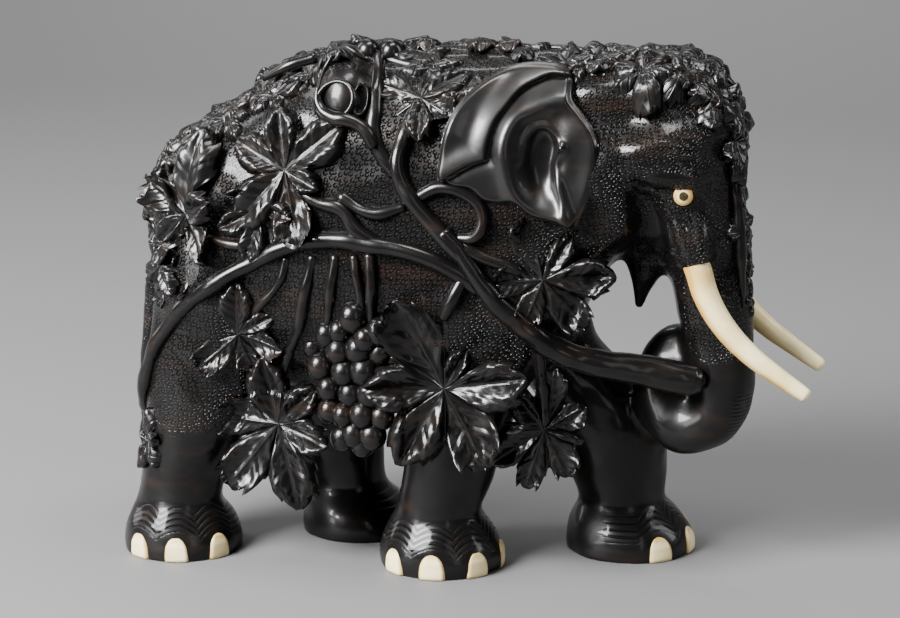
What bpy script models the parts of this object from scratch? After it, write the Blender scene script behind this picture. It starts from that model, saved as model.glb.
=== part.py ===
"""Carved ebony elephant wrapped in vines, vine leaves and grapes, with inlaid tusks, eyes and toenails.

Metres, +Z up. The elephant walks towards +X and its right side faces -Y. It stands on its four feet,
and its origin is the middle of its bounding box on the ground.
"""

import math

import bmesh
import bpy
from mathutils import Matrix, Vector

# Driving dimensions, in metres
HEIGHT = 0.224
TUSK_ROOT_DIAMETER = 0.0112
TUSK_TIP_DIAMETER = 0.0060
TUSK_SOCKET_DEPTH = 0.0085
EYE_DIAMETER = 0.0084
EYE_DEPTH = 0.0040
EYE_CROWN = 0.0012
PUPIL_DIAMETER = 0.0026
NAIL_DEPTH = 0.0030
NAIL_PROUD = 0.0006
FRONT_NAIL_WIDTH = 0.0112
REAR_NAIL_WIDTH = 0.0106
NAIL_HEIGHT = 0.0108
INLAY_GAP = 0.0003
SOLE_LIFT = 0.0003
# A pocket's cutter runs this far out of the wood
CUTTER_REACH = 0.0040

# The carving's pose and proportions are shares of its height: one share is a 224th of it
SHARE = HEIGHT / 224.0

# How finely the free form is cut
BLANK_GRAIN = 0.0022
CARVING_GRAIN = 0.0010
CARVING_FACES = 6900
LIMB_SIDES = 28
TORSO_SQUARENESS = 2.5
BLANK_SMOOTHING = 4
CREASE_ANGLE = 50.0

EBONY = ("ebony", (0.012, 0.010, 0.009, 1.0), 0.28)
IVORY = ("ivory", (0.83, 0.77, 0.61, 1.0), 0.35)
HORN = ("horn", (0.10, 0.06, 0.02, 1.0), 0.30)

# Torso rings along the length: place, middle height, half height, half width
TORSO = [
    (-144, 150, 14, 12), (-138, 148, 32, 23), (-128, 142, 45, 32), (-111, 136, 56, 40),
    (-89, 137, 66, 44), (-60, 142, 73, 46), (-30, 143, 74, 46.5), (0, 143.5, 74, 45.5),
    (22, 147.5, 70, 43), (37, 157, 61, 40), (49, 170, 48, 37), (60, 177, 41, 35), (72, 182, 36, 30),
]

# Head rings from the crown down to the trunk's root: height, middle, half length, half width
HEAD = [
    (219, 77, 12, 14), (215, 77, 21, 23), (206, 77, 26.5, 30), (194, 78, 29.5, 33), (181, 79, 29.5, 33),
    (168, 80, 28.5, 30), (157, 82, 27, 26), (147, 86, 24.5, 22), (139, 91, 20, 18), (130, 95, 17, 15.5),
]

# Middle line and radius of the trunk, from inside the head down and round to its tip
TRUNK = [
    ((92, 0, 150), 20), ((96.5, 0, 129), 17.0), ((99.8, 0, 109), 15.4), ((103, 0, 89), 13.8),
    ((101, 0, 71), 12.9), ((92, 1, 63.2), 12.6), ((81.5, 3, 64.5), 12.4), ((76, 6, 75), 12),
    ((77.5, 8, 87), 11.5), ((85, 10, 94.5), 10.5), ((93, 11, 90), 9.5), ((96, 11, 82), 8.5),
]
JAW = [((68, 0, 148), 15), ((70, 0, 138), 11), ((70, 0, 129), 6), ((68.5, 0, 121), 2)]
CHEEK = [((84, 15, 164), 11), ((91, 19, 148), 9.6), ((94.8, 20.8, 136), 8.0)]
TAIL = [((-138, 0, 138), 8), ((-143, -2, 118), 6), ((-147, -4, 92), 5.4), ((-149, -5, 62), 5), ((-148, -6, 41), 5)]

# Each leg: foot middle, foot radius, then rings up the leg as height, middle x, middle y, radii
LEGS = {
    "front_right": ((-13.5, -18), 26.6, [
        (23, -15, -18, 18, 18), (34, -12, -18.5, 18.6, 18.5), (47, -9, -19, 20.5, 20),
        (70, -4, -19, 23.5, 21.5), (96, 4, -18, 28, 23), (124, 10, -14, 31, 24), (146, 12, -8, 24, 18)]),
    "front_left": ((60.5, 24), 28.0, [
        (21, 57, 24, 18.6, 18), (31, 55, 24, 20.5, 19.5), (49, 53, 23, 24, 21),
        (68, 43.5, 22, 25, 22), (92, 21, 20, 25, 23), (118, 8, 15, 30, 24), (144, 6, 8, 24, 18)]),
    "rear_right": ((-128.5, -23), 25.8, [
        (22, -130, -23, 18, 17.5), (34, -127, -23, 19, 18.5), (46, -124, -23, 21, 20),
        (66, -119, -22, 24.5, 21.5), (94, -112, -20, 30, 23), (124, -105, -15, 34, 25), (148, -102, -9, 27, 20)]),
    "rear_left": ((-60.0, 20), 25.8, [
        (21, -66, 20, 16.5, 16.5), (32, -68, 20, 18, 18), (46, -71, 20, 20.5, 20),
        (68, -78, 19, 25, 21.5), (94, -88, 17, 31, 23), (122, -95, 13, 34, 25), (148, -98, 8, 27, 20)]),
}

# Foot profile above the ground: share of the foot's height, share of the way out from ankle to foot radius
FOOT_PROFILE = [(-0.14, 0.97), (0.0, 0.97), (0.10, 1.0), (0.30, 0.98), (0.55, 0.78), (0.78, 0.42), (0.93, 0.12)]

# Toenail directions on the right feet, in degrees from straight ahead towards the outer side
FRONT_NAILS = (-50.0, -5.0, 40.5, 85.5, 128.0)
REAR_NAILS = (33.0, 78.0, 120.0)

# Arch of a toenail: its power, the width left at its top, and the heights at which its edge bends
NAIL_ARCH = 3.2
NAIL_TOP_WIDTH = 0.28
NAIL_ROWS = (0.50, 0.84)

# Middle of the left eye's face, the way that it looks, and the sides of its disc
EYE_PLACE = (89.5, 28.6, 167.0)
EYE_FACING = (0.22, 1.0, 0.05)
EYE_SIDES = 16

# Middle line of the left tusk from its root, where it leaves the cheek
TUSK = [(95, 21, 135), (98.5, 22, 125), (106, 23.5, 113), (117, 24.5, 102), (129, 24.8, 93.5), (142, 24.5, 85)]

# Ear: outline as length and height, its depth into the neck, its stand-off at the front and back edge,
# the height from which its top curls in, and the hollow in its face
EAR_OUTLINE = [
    (24, 221), (15, 219), (4, 209), (-3, 195), (-7, 180), (-5, 174), (6, 169.5), (13, 165), (27, 162.5),
    (34, 158), (42, 155), (45, 154), (49, 160), (52, 168), (56, 184), (53, 192), (47, 200), (44, 212), (42, 219),
]
EAR_DEPTH = 16.0
EAR_FRONT = (56, 38.5)
EAR_BACK = (-8, 50.0)
EAR_CURL_FROM = 180.0
EAR_CURL = 0.015
EAR_HOLLOW = ((33, 182), 7.5, 12.5, 3.6)

# Broken branch stump on the shoulder: middle line and radius, and the hollow in its end
STUMP = [((-62, -12, 212), 5), ((-57, -22, 208), 7), ((-52, -31, 200), 9.5), ((-50, -36, 191), 9), ((-46, -40, 178), 5)]
STUMP_HOLLOW = ((-53, -41.5, 200), 5.0)

# Vines on the right side: name, radius at the start and end, lift off the flank, then length and height
VINES = [
    ("upright", 3.4, 3.2, 3, [(-46, 217), (-41, 205), (-38, 194), (-34, 179), (-31, 163), (-23, 154)]),
    ("big_stem", 3.0, 3.8, 5, [(-23, 197), (-25, 183), (-24, 172), (-17, 163), (-9, 154), (-1, 145), (7, 136)]),
    ("main_arc", 3.2, 3.6, 4, [(-146, 50), (-143, 66), (-138, 85), (-127, 103), (-105, 123), (-88, 133),
                               (-70, 142), (-54, 145), (-39, 144), (-20, 142), (-3, 135), (7, 127)]),
    ("second", 2.6, 2.6, 4, [(-68, 165), (-58, 160), (-49, 158), (-42, 150), (-35, 145)]),
    ("third", 2.6, 2.2, 4, [(-49, 163), (-35, 157), (-22, 160)]),
    ("loop", 2.6, 2.6, 4, [(-16, 164), (-5, 169), (5, 165), (9, 158), (7, 150), (1, 149)]),
    ("stub", 2.6, 2.2, 5, [(-1, 146), (11, 141), (26, 135)]),
    ("cut_twig", 2.8, 2.6, 4, [(2, 132), (-2, 123), (-6, 115)]),
    ("grape_stem", 2.6, 2.4, 4, [(-37, 145), (-36, 130), (-37, 112)]),
    ("hanging_stem", 2.4, 2.2, 2, [(-60, 140), (-66, 120), (-71, 104), (-77, 86), (-79, 66)]),
    ("hanging_stem_two", 2.4, 2.2, 2, [(-51, 141), (-54, 122), (-57, 104)]),
    ("twig", 2.0, 2.0, 2, [(-110, 142), (-98, 140), (-86, 138)]),
]

# The big diagonal vine leaves the flank and runs forward to the trunk's grasp: middle line and radius
GRASPED_VINE = [
    ((2, -46, 142), 3.8), ((9, -46, 131), 4.2), ((17, -43, 121), 4.6), ((28, -38, 109), 5.0), ((42, -31, 99), 5.4),
    ((57, -26, 94), 5.9), ((75, -20, 90.5), 6.6), ((91, -16, 87), 6.9),
    ((97, -14.5, 86), 4.6),
]

# Leaves: name, middle (x, y, z), direction that the leaf faces, size, then lobes as angle and length.
# Angles are in degrees from forward (+X) towards up, seen from the side that the leaf faces.
LEAVES = [
    ("rump", (-121, -43, 147), (-0.62, -0.78, 0.05), [(78, 34), (150, 21), (222, 20), (268, 34), (20, 20)]),
    ("haunch", (-74, -50, 174), (-0.05, -0.97, 0.25), [(13, 24), (76, 30), (148, 25), (230, 29), (275, 30), (320, 18)]),
    ("chest", (36, -46, 132), (0.25, -0.95, 0.05), [(5, 27), (94, 25), (192, 18), (258, 17), (318, 25)]),
    ("thigh", (-96, -48, 101), (-0.05, -1.0, 0.0), [(88, 21), (8, 20), (165, 16), (226, 21), (300, 14)]),
    ("hanging", (-80, -37, 62), (0.0, -1.0, 0.05), [(105, 28), (57, 26), (196, 25), (241, 34), (297, 34), (327, 27)]),
    ("great", (-6, -46, 84), (0.05, -1.0, 0.05), [(116, 42), (182, 30), (232, 33), (256, 36), (297, 33), (7, 34)]),
    ("front_hanging", (34, -33, 66), (0.15, -0.99, 0.0), [(80, 26), (120, 17), (219, 26), (256, 26), (290, 18), (40, 17)]),
    ("shoulder", (-18, -35, 204), (0.0, -0.80, 0.60), [(170, 18), (110, 19), (60, 22), (215, 19), (270, 17), (320, 14)]),
    ("rump_top", (-95, -22, 199), (-0.25, -0.55, 0.80), [(160, 17), (100, 15), (40, 15), (230, 13), (310, 13)]),
    ("rump_side", (-112, -24, 186), (-0.45, -0.60, 0.66), [(170, 15), (110, 13), (50, 14), (230, 12), (310, 12)]),
    ("rump_back", (-130, -14, 176), (-0.75, -0.35, 0.56), [(90, 14), (30, 12), (150, 12), (230, 12), (310, 12)]),
    ("ridge_middle", (-2, -6, 219), (0.0, -0.2, 0.98), [(0, 15), (72, 15), (144, 15), (216, 15), (288, 15)]),
    ("ridge_front", (27, 5, 219.5), (0.0, 0.15, 0.98), [(0, 17), (72, 16), (144, 16), (216, 16), (288, 17)]),
    ("ridge_neck", (57, -6, 218.5), (0.05, -0.2, 0.98), [(15, 17), (85, 17), (155, 15), (235, 20), (300, 20)]),
    ("crown", (86, -10, 217), (0.40, -0.30, 0.87), [(-60, 20), (10, 15), (75, 15), (150, 16), (225, 17)]),
    ("crown_left", (84, 13, 216.5), (0.35, 0.35, 0.87), [(60, 17), (130, 15), (200, 15), (270, 13), (345, 16)]),
    ("brow", (106.5, 0, 197), (0.93, 0.0, 0.36), [(270, 17), (200, 15), (340, 15), (45, 13), (135, 13)]),
    ("trunk_leaf", (111, 0, 165), (0.99, 0.0, 0.05), [(270, 16), (205, 13), (335, 13), (40, 12), (140, 12)]),
    ("left_rump", (-118, 40, 152), (-0.60, 0.80, 0.05), [(90, 28), (20, 20), (160, 20), (235, 24), (305, 24)]),
    ("left_flank", (-66, 50, 166), (0.0, 0.98, 0.18), [(90, 28), (20, 24), (160, 24), (235, 26), (305, 26)]),
    ("left_belly", (-34, 47, 98), (0.0, 1.0, -0.1), [(90, 25), (20, 24), (160, 24), (235, 28), (305, 28)]),
    ("left_shoulder", (-8, 47, 178), (0.0, 0.92, 0.38), [(90, 22), (20, 19), (160, 20), (235, 21), (305, 20)]),
    ("left_chest", (30, 44, 126), (0.2, 0.97, 0.0), [(90, 22), (20, 20), (160, 20), (235, 22), (305, 22)]),
    ("left_top", (-70, 18, 210), (-0.1, 0.5, 0.86), [(90, 16), (20, 15), (160, 15), (235, 15), (305, 15)]),
]
# A leaf's rim thickness and how its underside draws in, its raised middle, the height of its lobes' tips
# over its flat and the drop of the shoulders beside them, and the depth of its root
LEAF_THICKNESS = 2.2
LEAF_UNDERCUT = 0.96
LEAF_MIDDLE = 0.1
LEAF_CROWN = 2.0
LEAF_TIP_RISE = 1.2
LEAF_SHOULDER_DROP = 0.5
LEAF_ROOT = 13.0
LEAF_SHOULDER = 0.80
LEAF_SHOULDER_TURN = 0.26
LEAF_NOTCH = 0.60

# Grapes: bunch on the right side as length, height and lift; berries on the back
GRAPES = [
    (-45, 110, 3), (-34, 107, 3), (-57, 102, 2), (-51, 96, 5), (-42, 95, 6), (-32, 95, 4), (-60, 86, 2),
    (-49, 82, 6), (-39, 81, 6), (-56, 72, 3), (-48, 69, 6), (-40, 69, 5), (-32, 67, 3), (-50, 58, 2), (-39, 59, 2),
]
GRAPE_RADIUS = 5.6
BUNCH = [(112, -46, 6, 5), (106, -46, 13, 8), (92, -45, 15, 9), (76, -45, 13, 8), (64, -44, 11, 7), (57, -44, 6, 4)]
BUNCH_SIDE = 34.0
BERRIES = [(-37, -9, 217), (-27, -11, 217)]
BERRY_RADIUS = 5.5

# How deep a vine's middle line sinks below its lift
VINE_SINK = 2.2

# Free stem from the grasped vine down to the leaf between the front legs
FREE_STEM = [((30, -36, 107), 3.4), ((31.5, -31, 97), 3.0), ((33, -27, 84), 2.6), ((34, -26, 68), 2.2)]

LEFT_VINES = [
    ("left_stem", 3.4, 3.6, 3, [(-140, 84), (-120, 112), (-92, 134), (-60, 145), (-28, 143), (0, 134), (30, 116)]),
    ("left_upright", 3.2, 3.0, 3, [(-52, 216), (-47, 196), (-44, 172), (-38, 146)]),
    ("left_hanging", 2.6, 2.4, 3, [(-34, 143), (-33, 122), (-34, 100)]),
]
RIDGE_VINE = [(-118, -2), (-92, 3), (-60, -3), (-20, 3), (20, -3), (52, 2), (70, 0)]
RIDGE_VINE_RADIUS = 3.2
FACE_VINE = [((66, 0, 218), 3.2), ((86, 0, 218), 3.0), ((100, 0, 207), 3.0), ((107, 0, 190), 3.0), ((109, 0, 168), 2.8),
             ((111.5, 0, 145), 2.6), ((113.5, 0, 127), 2.2), ((114, 0, 118), 1.6)]


def clear_scene():
    for thing in list(bpy.data.objects):
        bpy.data.objects.remove(thing, do_unlink=True)


def finish_material(finish):
    name, colour, roughness = finish
    material = bpy.data.materials.get(name)
    if material is None:
        material = bpy.data.materials.new(name)
        material.use_nodes = True
        shader = material.node_tree.nodes["Principled BSDF"]
        shader.inputs["Base Color"].default_value = colour
        shader.inputs["Roughness"].default_value = roughness
        shader.inputs["Metallic"].default_value = 0.0
    return material


def new_object(name, bm, finish=EBONY):
    bmesh.ops.recalc_face_normals(bm, faces=bm.faces)
    mesh = bpy.data.meshes.new(name)
    bm.to_mesh(mesh)
    bm.free()
    mesh.materials.append(finish_material(finish))
    thing = bpy.data.objects.new(name, mesh)
    bpy.context.scene.collection.objects.link(thing)
    return thing


def discard(thing):
    bpy.data.objects.remove(thing, do_unlink=True)


def between(table, at, column):
    """Value of a column of a table at a place along its first column, in straight runs."""
    if at <= table[0][0]:
        return table[0][column]
    for low, high in zip(table, table[1:]):
        if at <= high[0]:
            part = (at - low[0]) / (high[0] - low[0])
            return low[column] + (high[column] - low[column]) * part
    return table[-1][column]


def flank(length, height, lift):
    """Half width of the torso, in shares, at a length and height, plus a lift."""
    middle = between(TORSO, length, 1)
    half_height = between(TORSO, length, 2)
    rise = abs(max(-0.72, min(0.985, (height - middle) / half_height)))
    round_part = (1.0 - rise ** TORSO_SQUARENESS) ** (1.0 / TORSO_SQUARENESS)
    return between(TORSO, length, 3) * round_part + lift


def swell(value, squareness):
    """Coordinate of a unit circle's point, pushed out towards a rounded square."""
    return math.copysign(abs(value) ** (2.0 / squareness), value)


def loft(name, rings, squareness=2.0):
    """Closed skin over rings. A ring is a middle, two radii and the two directions that they run in."""
    bm = bmesh.new()
    loops = []
    for middle, radius_u, radius_v, along_u, along_v in rings:
        made = bmesh.ops.create_circle(bm, cap_ends=False, segments=LIMB_SIDES, radius=1.0)
        for vert in made["verts"]:
            reach_u = Vector(along_u) * (swell(vert.co.x, squareness) * radius_u)
            reach_v = Vector(along_v) * (swell(vert.co.y, squareness) * radius_v)
            vert.co = (Vector(middle) + reach_u + reach_v) * SHARE
        loops.append(list({edge for vert in made["verts"] for edge in vert.link_edges}))
    for low, high in zip(loops, loops[1:]):
        bmesh.ops.bridge_loops(bm, edges=low + high)
    for ends in (loops[0], loops[-1]):
        bmesh.ops.contextual_create(bm, geom=ends)
    return new_object(name, bm)


def tube(name, route, bevel_steps=2, curve_steps=3):
    """Round stem on a smooth curve through the route's points, each with its radius, in shares."""
    curve = bpy.data.curves.new(name, "CURVE")
    curve.dimensions = "3D"
    curve.bevel_depth = SHARE
    curve.bevel_resolution = bevel_steps
    curve.resolution_u = curve_steps
    curve.use_fill_caps = True
    spline = curve.splines.new("BEZIER")
    spline.bezier_points.add(len(route) - 1)
    for point, (spot, radius) in zip(spline.bezier_points, route):
        point.co = Vector(spot) * SHARE
        point.radius = radius
        point.handle_left_type = "AUTO"
        point.handle_right_type = "AUTO"
    shaped = bpy.data.objects.new(name + "_curve", curve)
    bpy.context.scene.collection.objects.link(shaped)
    bpy.context.view_layer.update()
    mesh = bpy.data.meshes.new_from_object(shaped.evaluated_get(bpy.context.evaluated_depsgraph_get()))
    discard(shaped)
    bm = bmesh.new()
    bm.from_mesh(mesh)
    bmesh.ops.remove_doubles(bm, verts=bm.verts, dist=SHARE * 0.01)
    bpy.data.meshes.remove(mesh)
    return new_object(name, bm)


def torso():
    rings = [((x, 0, z), wide, tall, (0, 1, 0), (0, 0, 1)) for x, z, tall, wide in TORSO]
    return loft("torso", rings, TORSO_SQUARENESS)


def head():
    rings = [((x, 0, z), long, wide, (1, 0, 0), (0, 1, 0)) for z, x, long, wide in HEAD]
    return loft("head", rings)


def bunch_core():
    """Wood between and behind the grapes, tapering down like the bunch."""
    rings = [((x, -BUNCH_SIDE, z), long, wide, (1, 0, 0), (0, 1, 0)) for z, x, long, wide in BUNCH]
    return loft("bunch_core", rings)


def foot_radius(ankle, foot, share_of_height):
    return ankle + (foot - ankle) * between(FOOT_PROFILE, share_of_height, 1)


def leg(name):
    (foot_x, foot_y), foot, uppers = LEGS[name]
    ankle_height, ankle_x, ankle_y, ankle, _ = uppers[0]
    rings = []
    for share_of_height, _ in FOOT_PROFILE:
        x = foot_x + (ankle_x - foot_x) * max(0.0, share_of_height) ** 2
        y = foot_y + (ankle_y - foot_y) * max(0.0, share_of_height) ** 2
        radius = foot_radius(ankle, foot, share_of_height)
        rings.append(((x, y, ankle_height * share_of_height), radius, radius, (1, 0, 0), (0, 1, 0)))
    for height, x, y, radius_x, radius_y in uppers:
        rings.append(((x, y, height), radius_x, radius_y, (1, 0, 0), (0, 1, 0)))
    return loft(name + "_leg", rings)


def ear_side(length, height):
    """Distance of the ear's sheet from the elephant's middle plane, in shares. Its top curls in."""
    part = (length - EAR_BACK[0]) / (EAR_FRONT[0] - EAR_BACK[0])
    curl = EAR_CURL * max(0.0, height - EAR_CURL_FROM) ** 2
    return EAR_BACK[1] + (EAR_FRONT[1] - EAR_BACK[1]) * part - curl


def ear(side):
    """Ear: its outline filled, then carried into the neck behind it."""
    bm = bmesh.new()
    outline = [bm.verts.new((x, 0.0, z)) for x, z in EAR_OUTLINE]
    face = bm.faces.new(outline)
    bmesh.ops.triangulate(bm, faces=[face])
    bmesh.ops.subdivide_edges(bm, edges=bm.edges[:], cuts=2, use_grid_fill=True)
    made = bmesh.ops.extrude_face_region(bm, geom=bm.faces[:], use_keep_orig=True)
    inner = {item for item in made["geom"] if isinstance(item, bmesh.types.BMVert)}
    for vert in bm.verts:
        inset = EAR_DEPTH if vert in inner else 0.0
        vert.co.y = side * (ear_side(vert.co.x, vert.co.z) - inset)
        vert.co *= SHARE
    return new_object("ear", bm)


def ear_hollow(side):
    """Oval cutter for the hollow in the middle of the ear."""
    (x, z), half_long, half_tall, depth = EAR_HOLLOW
    bm = bmesh.new()
    bmesh.ops.create_icosphere(bm, subdivisions=3, radius=1.0)
    bmesh.ops.scale(bm, vec=(half_long, depth, half_tall), verts=bm.verts)
    bmesh.ops.translate(bm, vec=(x, side * ear_side(x, z), z), verts=bm.verts)
    bmesh.ops.scale(bm, vec=(SHARE, SHARE, SHARE), verts=bm.verts)
    return new_object("ear_hollow", bm)


def apply_modifiers(thing):
    bpy.context.view_layer.update()
    mesh = bpy.data.meshes.new_from_object(thing.evaluated_get(bpy.context.evaluated_depsgraph_get()))
    old = thing.data
    thing.modifiers.clear()
    thing.data = mesh
    bpy.data.meshes.remove(old)


def melt(thing, grain):
    """Melts overlapping closed forms into one closed skin."""
    remesh = thing.modifiers.new("melt", "REMESH")
    remesh.mode = "VOXEL"
    remesh.voxel_size = grain
    apply_modifiers(thing)


def island(start):
    """Points of the skin that hang together with this one."""
    found = {start}
    waiting = [start]
    while waiting:
        for edge in waiting.pop().link_edges:
            for vert in edge.verts:
                if vert not in found:
                    found.add(vert)
                    waiting.append(vert)
    return found


def facet(thing, faces):
    """Cuts a skin down to about this many triangles, keeping its form and dropping collapsed crumbs."""
    thing.data.calc_loop_triangles()
    reduce = thing.modifiers.new("facet", "DECIMATE")
    reduce.ratio = faces / len(thing.data.loop_triangles)
    apply_modifiers(thing)
    bm = bmesh.new()
    bm.from_mesh(thing.data)
    body = island(max(bm.verts, key=lambda vert: vert.co.z))
    crumbs = [vert for vert in bm.verts if vert not in body]
    bmesh.ops.delete(bm, geom=crumbs, context="VERTS")
    bm.to_mesh(thing.data)
    bm.free()


def join_meshes(name, things):
    bm = bmesh.new()
    for thing in things:
        bm.from_mesh(thing.data)
        discard(thing)
    return new_object(name, bm)


def carved_blank():
    """Body, head, legs, trunk and tail melted into one smooth skin, with the stump's hollow."""
    forms = [torso(), head()] + [leg(name) for name in LEGS]
    forms += [tube("trunk", TRUNK, 4, 6), tube("jaw", JAW, 3, 4), tube("tail", TAIL, 2, 4)]
    forms += [tube("stump", STUMP, 3, 4), bunch_core()]
    for side in (-1, 1):
        forms.append(tube("cheek", [((x, side * y, z), r) for (x, y, z), r in CHEEK], 3, 4))
    blank = join_meshes("blank", forms)
    melt(blank, BLANK_GRAIN)
    smooth = blank.modifiers.new("smooth", "SMOOTH")
    smooth.factor = 0.5
    smooth.iterations = BLANK_SMOOTHING
    apply_modifiers(blank)
    cut(blank, [ball("stump_hollow", *STUMP_HOLLOW)])
    return blank


def carved_elephant():
    """The blank with its ears and foliage as one skin, cut down to few faces."""
    carving = join_meshes("elephant_carving", [carved_blank(), ear(-1), ear(1)] + foliage())
    melt(carving, CARVING_GRAIN)
    cut(carving, [ear_hollow(-1), ear_hollow(1)])
    facet(carving, CARVING_FACES)
    return carving


def cut(thing, others):
    """Takes the other closed forms out of this one."""
    group = bpy.data.collections.new("cutters")
    bpy.context.scene.collection.children.link(group)
    for other in others:
        for home in list(other.users_collection):
            home.objects.unlink(other)
        group.objects.link(other)
    modifier = thing.modifiers.new("cut", "BOOLEAN")
    modifier.operation = "DIFFERENCE"
    modifier.solver = "EXACT"
    modifier.operand_type = "COLLECTION"
    modifier.collection = group
    apply_modifiers(thing)
    for other in others:
        discard(other)
    bpy.data.collections.remove(group)


def leaf_outline(lobes):
    """Points round a lobed leaf, as angle, length and height. Tips stand higher than notches."""
    lobes = sorted((angle % 360.0, length) for angle, length in lobes)
    points = []
    for place, (angle, length) in enumerate(lobes):
        after_angle, after_length = lobes[(place + 1) % len(lobes)]
        gap = (after_angle - angle) % 360.0
        notch = LEAF_NOTCH * min(length, after_length)
        shoulder = LEAF_SHOULDER_TURN * min(gap, 72.0)
        points.append((angle, length, LEAF_TIP_RISE))
        points.append((angle + shoulder, LEAF_SHOULDER * length, -LEAF_SHOULDER_DROP))
        points.append((angle + 0.5 * gap, notch, -LEAF_TIP_RISE))
        points.append((after_angle - shoulder, LEAF_SHOULDER * after_length, -LEAF_SHOULDER_DROP))
    return points


def leaf(name, middle, facing, lobes):
    """Lobed leaf with raised midribs, thin at the rim and rooted in the wood behind its middle."""
    outline = leaf_outline(lobes)
    count = len(outline)
    face_way = Vector(facing).normalized()
    across = Vector((1, 0, 0)) if abs(face_way.x) < 0.9 else Vector((0, 1, 0))
    across = (across - face_way * across.dot(face_way)).normalized()
    up = across.cross(face_way)
    if abs(face_way.z) < 0.9 and up.z < 0:
        up.negate()
    bm = bmesh.new()
    bmesh.ops.create_cone(bm, cap_ends=True, segments=count, radius1=1.0, radius2=1.0, depth=2.0)
    top = max(bm.faces, key=lambda face: face.calc_center_median().z)
    low = min(bm.faces, key=lambda face: face.calc_center_median().z)
    bmesh.ops.poke(bm, faces=[top, low])
    for vert in bm.verts:
        spread = math.hypot(vert.co.x, vert.co.y)
        turn = math.degrees(math.atan2(vert.co.y, vert.co.x)) % 360.0
        angle, length, height = outline[int(round(turn * count / 360.0)) % count]
        way = across * math.cos(math.radians(angle)) + up * math.sin(math.radians(angle))
        if spread < LEAF_MIDDLE:
            spot = face_way * (LEAF_CROWN if vert.co.z > 0 else -LEAF_ROOT)
        elif vert.co.z > 0:
            spot = way * length + face_way * height
        else:
            spot = way * (LEAF_UNDERCUT * length) + face_way * (height - LEAF_THICKNESS)
        vert.co = (Vector(middle) + spot) * SHARE
    return new_object("leaf_" + name, bm)


def ball(name, middle, radius):
    """Faceted ball: a grape, a berry or a hollow."""
    bm = bmesh.new()
    bmesh.ops.create_icosphere(bm, subdivisions=2, radius=radius * SHARE)
    bmesh.ops.translate(bm, vec=Vector(middle) * SHARE, verts=bm.verts)
    return new_object(name, bm)


def flank_vine(side, name, start, end, lift, spots):
    route = []
    for place, (x, z) in enumerate(spots):
        radius = start + (end - start) * place / (len(spots) - 1)
        route.append(((x, side * flank(x, z, lift - VINE_SINK), z), radius))
    return tube("vine_" + name, route, 1, 2)


def ridge_vine():
    """Vine along the middle of the back, half sunk in it."""
    route = []
    for x, y in RIDGE_VINE:
        top = between(TORSO, x, 1) + between(TORSO, x, 2)
        route.append(((x, y, top + 0.2 * RIDGE_VINE_RADIUS), RIDGE_VINE_RADIUS))
    return tube("vine_ridge", route, 1, 2)


def foliage():
    growth = [flank_vine(-1, *vine) for vine in VINES]
    growth += [flank_vine(1, *vine) for vine in LEFT_VINES]
    growth += [tube("vine_grasped", GRASPED_VINE, 2, 3), tube("vine_free", FREE_STEM, 1, 2)]
    growth += [ridge_vine(), tube("vine_face", FACE_VINE, 1, 2)]
    growth += [leaf(*spec) for spec in LEAVES]
    growth += [ball("grape", (x, -flank(x, z, lift - 2.0), z), GRAPE_RADIUS) for x, z, lift in GRAPES]
    growth += [ball("berry", spot, BERRY_RADIUS) for spot in BERRIES]
    return growth


def sole_cutter():
    """Block under the ground, which cuts the soles flat."""
    bm = bmesh.new()
    bmesh.ops.create_cube(bm, size=1.0)
    bmesh.ops.scale(bm, vec=(3.0 * HEIGHT, 2.0 * HEIGHT, HEIGHT), verts=bm.verts)
    bmesh.ops.translate(bm, vec=(0.0, 0.0, -0.5 * HEIGHT), verts=bm.verts)
    return new_object("sole_cutter", bm)


def nail(name, leg_name, direction, width, gap):
    """Arched nail against the foot's wall. A gap over zero gives the pocket that it sits in."""
    (foot_x, foot_y), foot, uppers = LEGS[leg_name]
    ankle_height, ankle_x, ankle_y, ankle, _ = uppers[0]
    outer = 1.0 if leg_name.endswith("left") else -1.0
    turn = math.radians(direction)
    way = Vector((math.cos(turn), outer * math.sin(turn), 0.0))
    side_way = Vector((-way.y, way.x, 0.0))
    half = width * 0.5 + gap
    tall = NAIL_HEIGHT + gap
    base = SOLE_LIFT if gap == 0.0 else -0.5 * CUTTER_REACH
    rows = [base] + [NAIL_HEIGHT * share for share in NAIL_ROWS] + [tall]
    bm = bmesh.new()
    made = bmesh.ops.create_grid(bm, x_segments=2, y_segments=len(rows) - 1, size=1.0)
    for vert in made["verts"]:
        across = vert.co.x
        row = int(round((vert.co.y + 1.0) * 0.5 * (len(rows) - 1)))
        height = rows[row]
        reach = max(0.0, min(1.0, height / tall))
        spread = half * max(NAIL_TOP_WIDTH, math.sqrt(max(0.0, 1.0 - reach ** NAIL_ARCH)))
        share_of_height = max(0.0, height / (ankle_height * SHARE))
        radius = foot_radius(ankle, foot, share_of_height) * SHARE
        slide = max(0.0, share_of_height) ** 2
        middle = Vector((foot_x + (ankle_x - foot_x) * slide, foot_y + (ankle_y - foot_y) * slide, 0.0)) * SHARE
        offset = across * spread
        wall = math.sqrt(max(radius * radius - offset * offset, 0.0))
        vert.co = middle + way * (wall - NAIL_DEPTH - gap) + side_way * offset + Vector((0, 0, height))
    made = bmesh.ops.extrude_face_region(bm, geom=bm.faces[:], use_keep_orig=True)
    thickness = NAIL_DEPTH + gap + (NAIL_PROUD if gap == 0.0 else CUTTER_REACH)
    moved = [item for item in made["geom"] if isinstance(item, bmesh.types.BMVert)]
    bmesh.ops.translate(bm, vec=way * thickness, verts=moved)
    return new_object(name, bm, IVORY)


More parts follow.
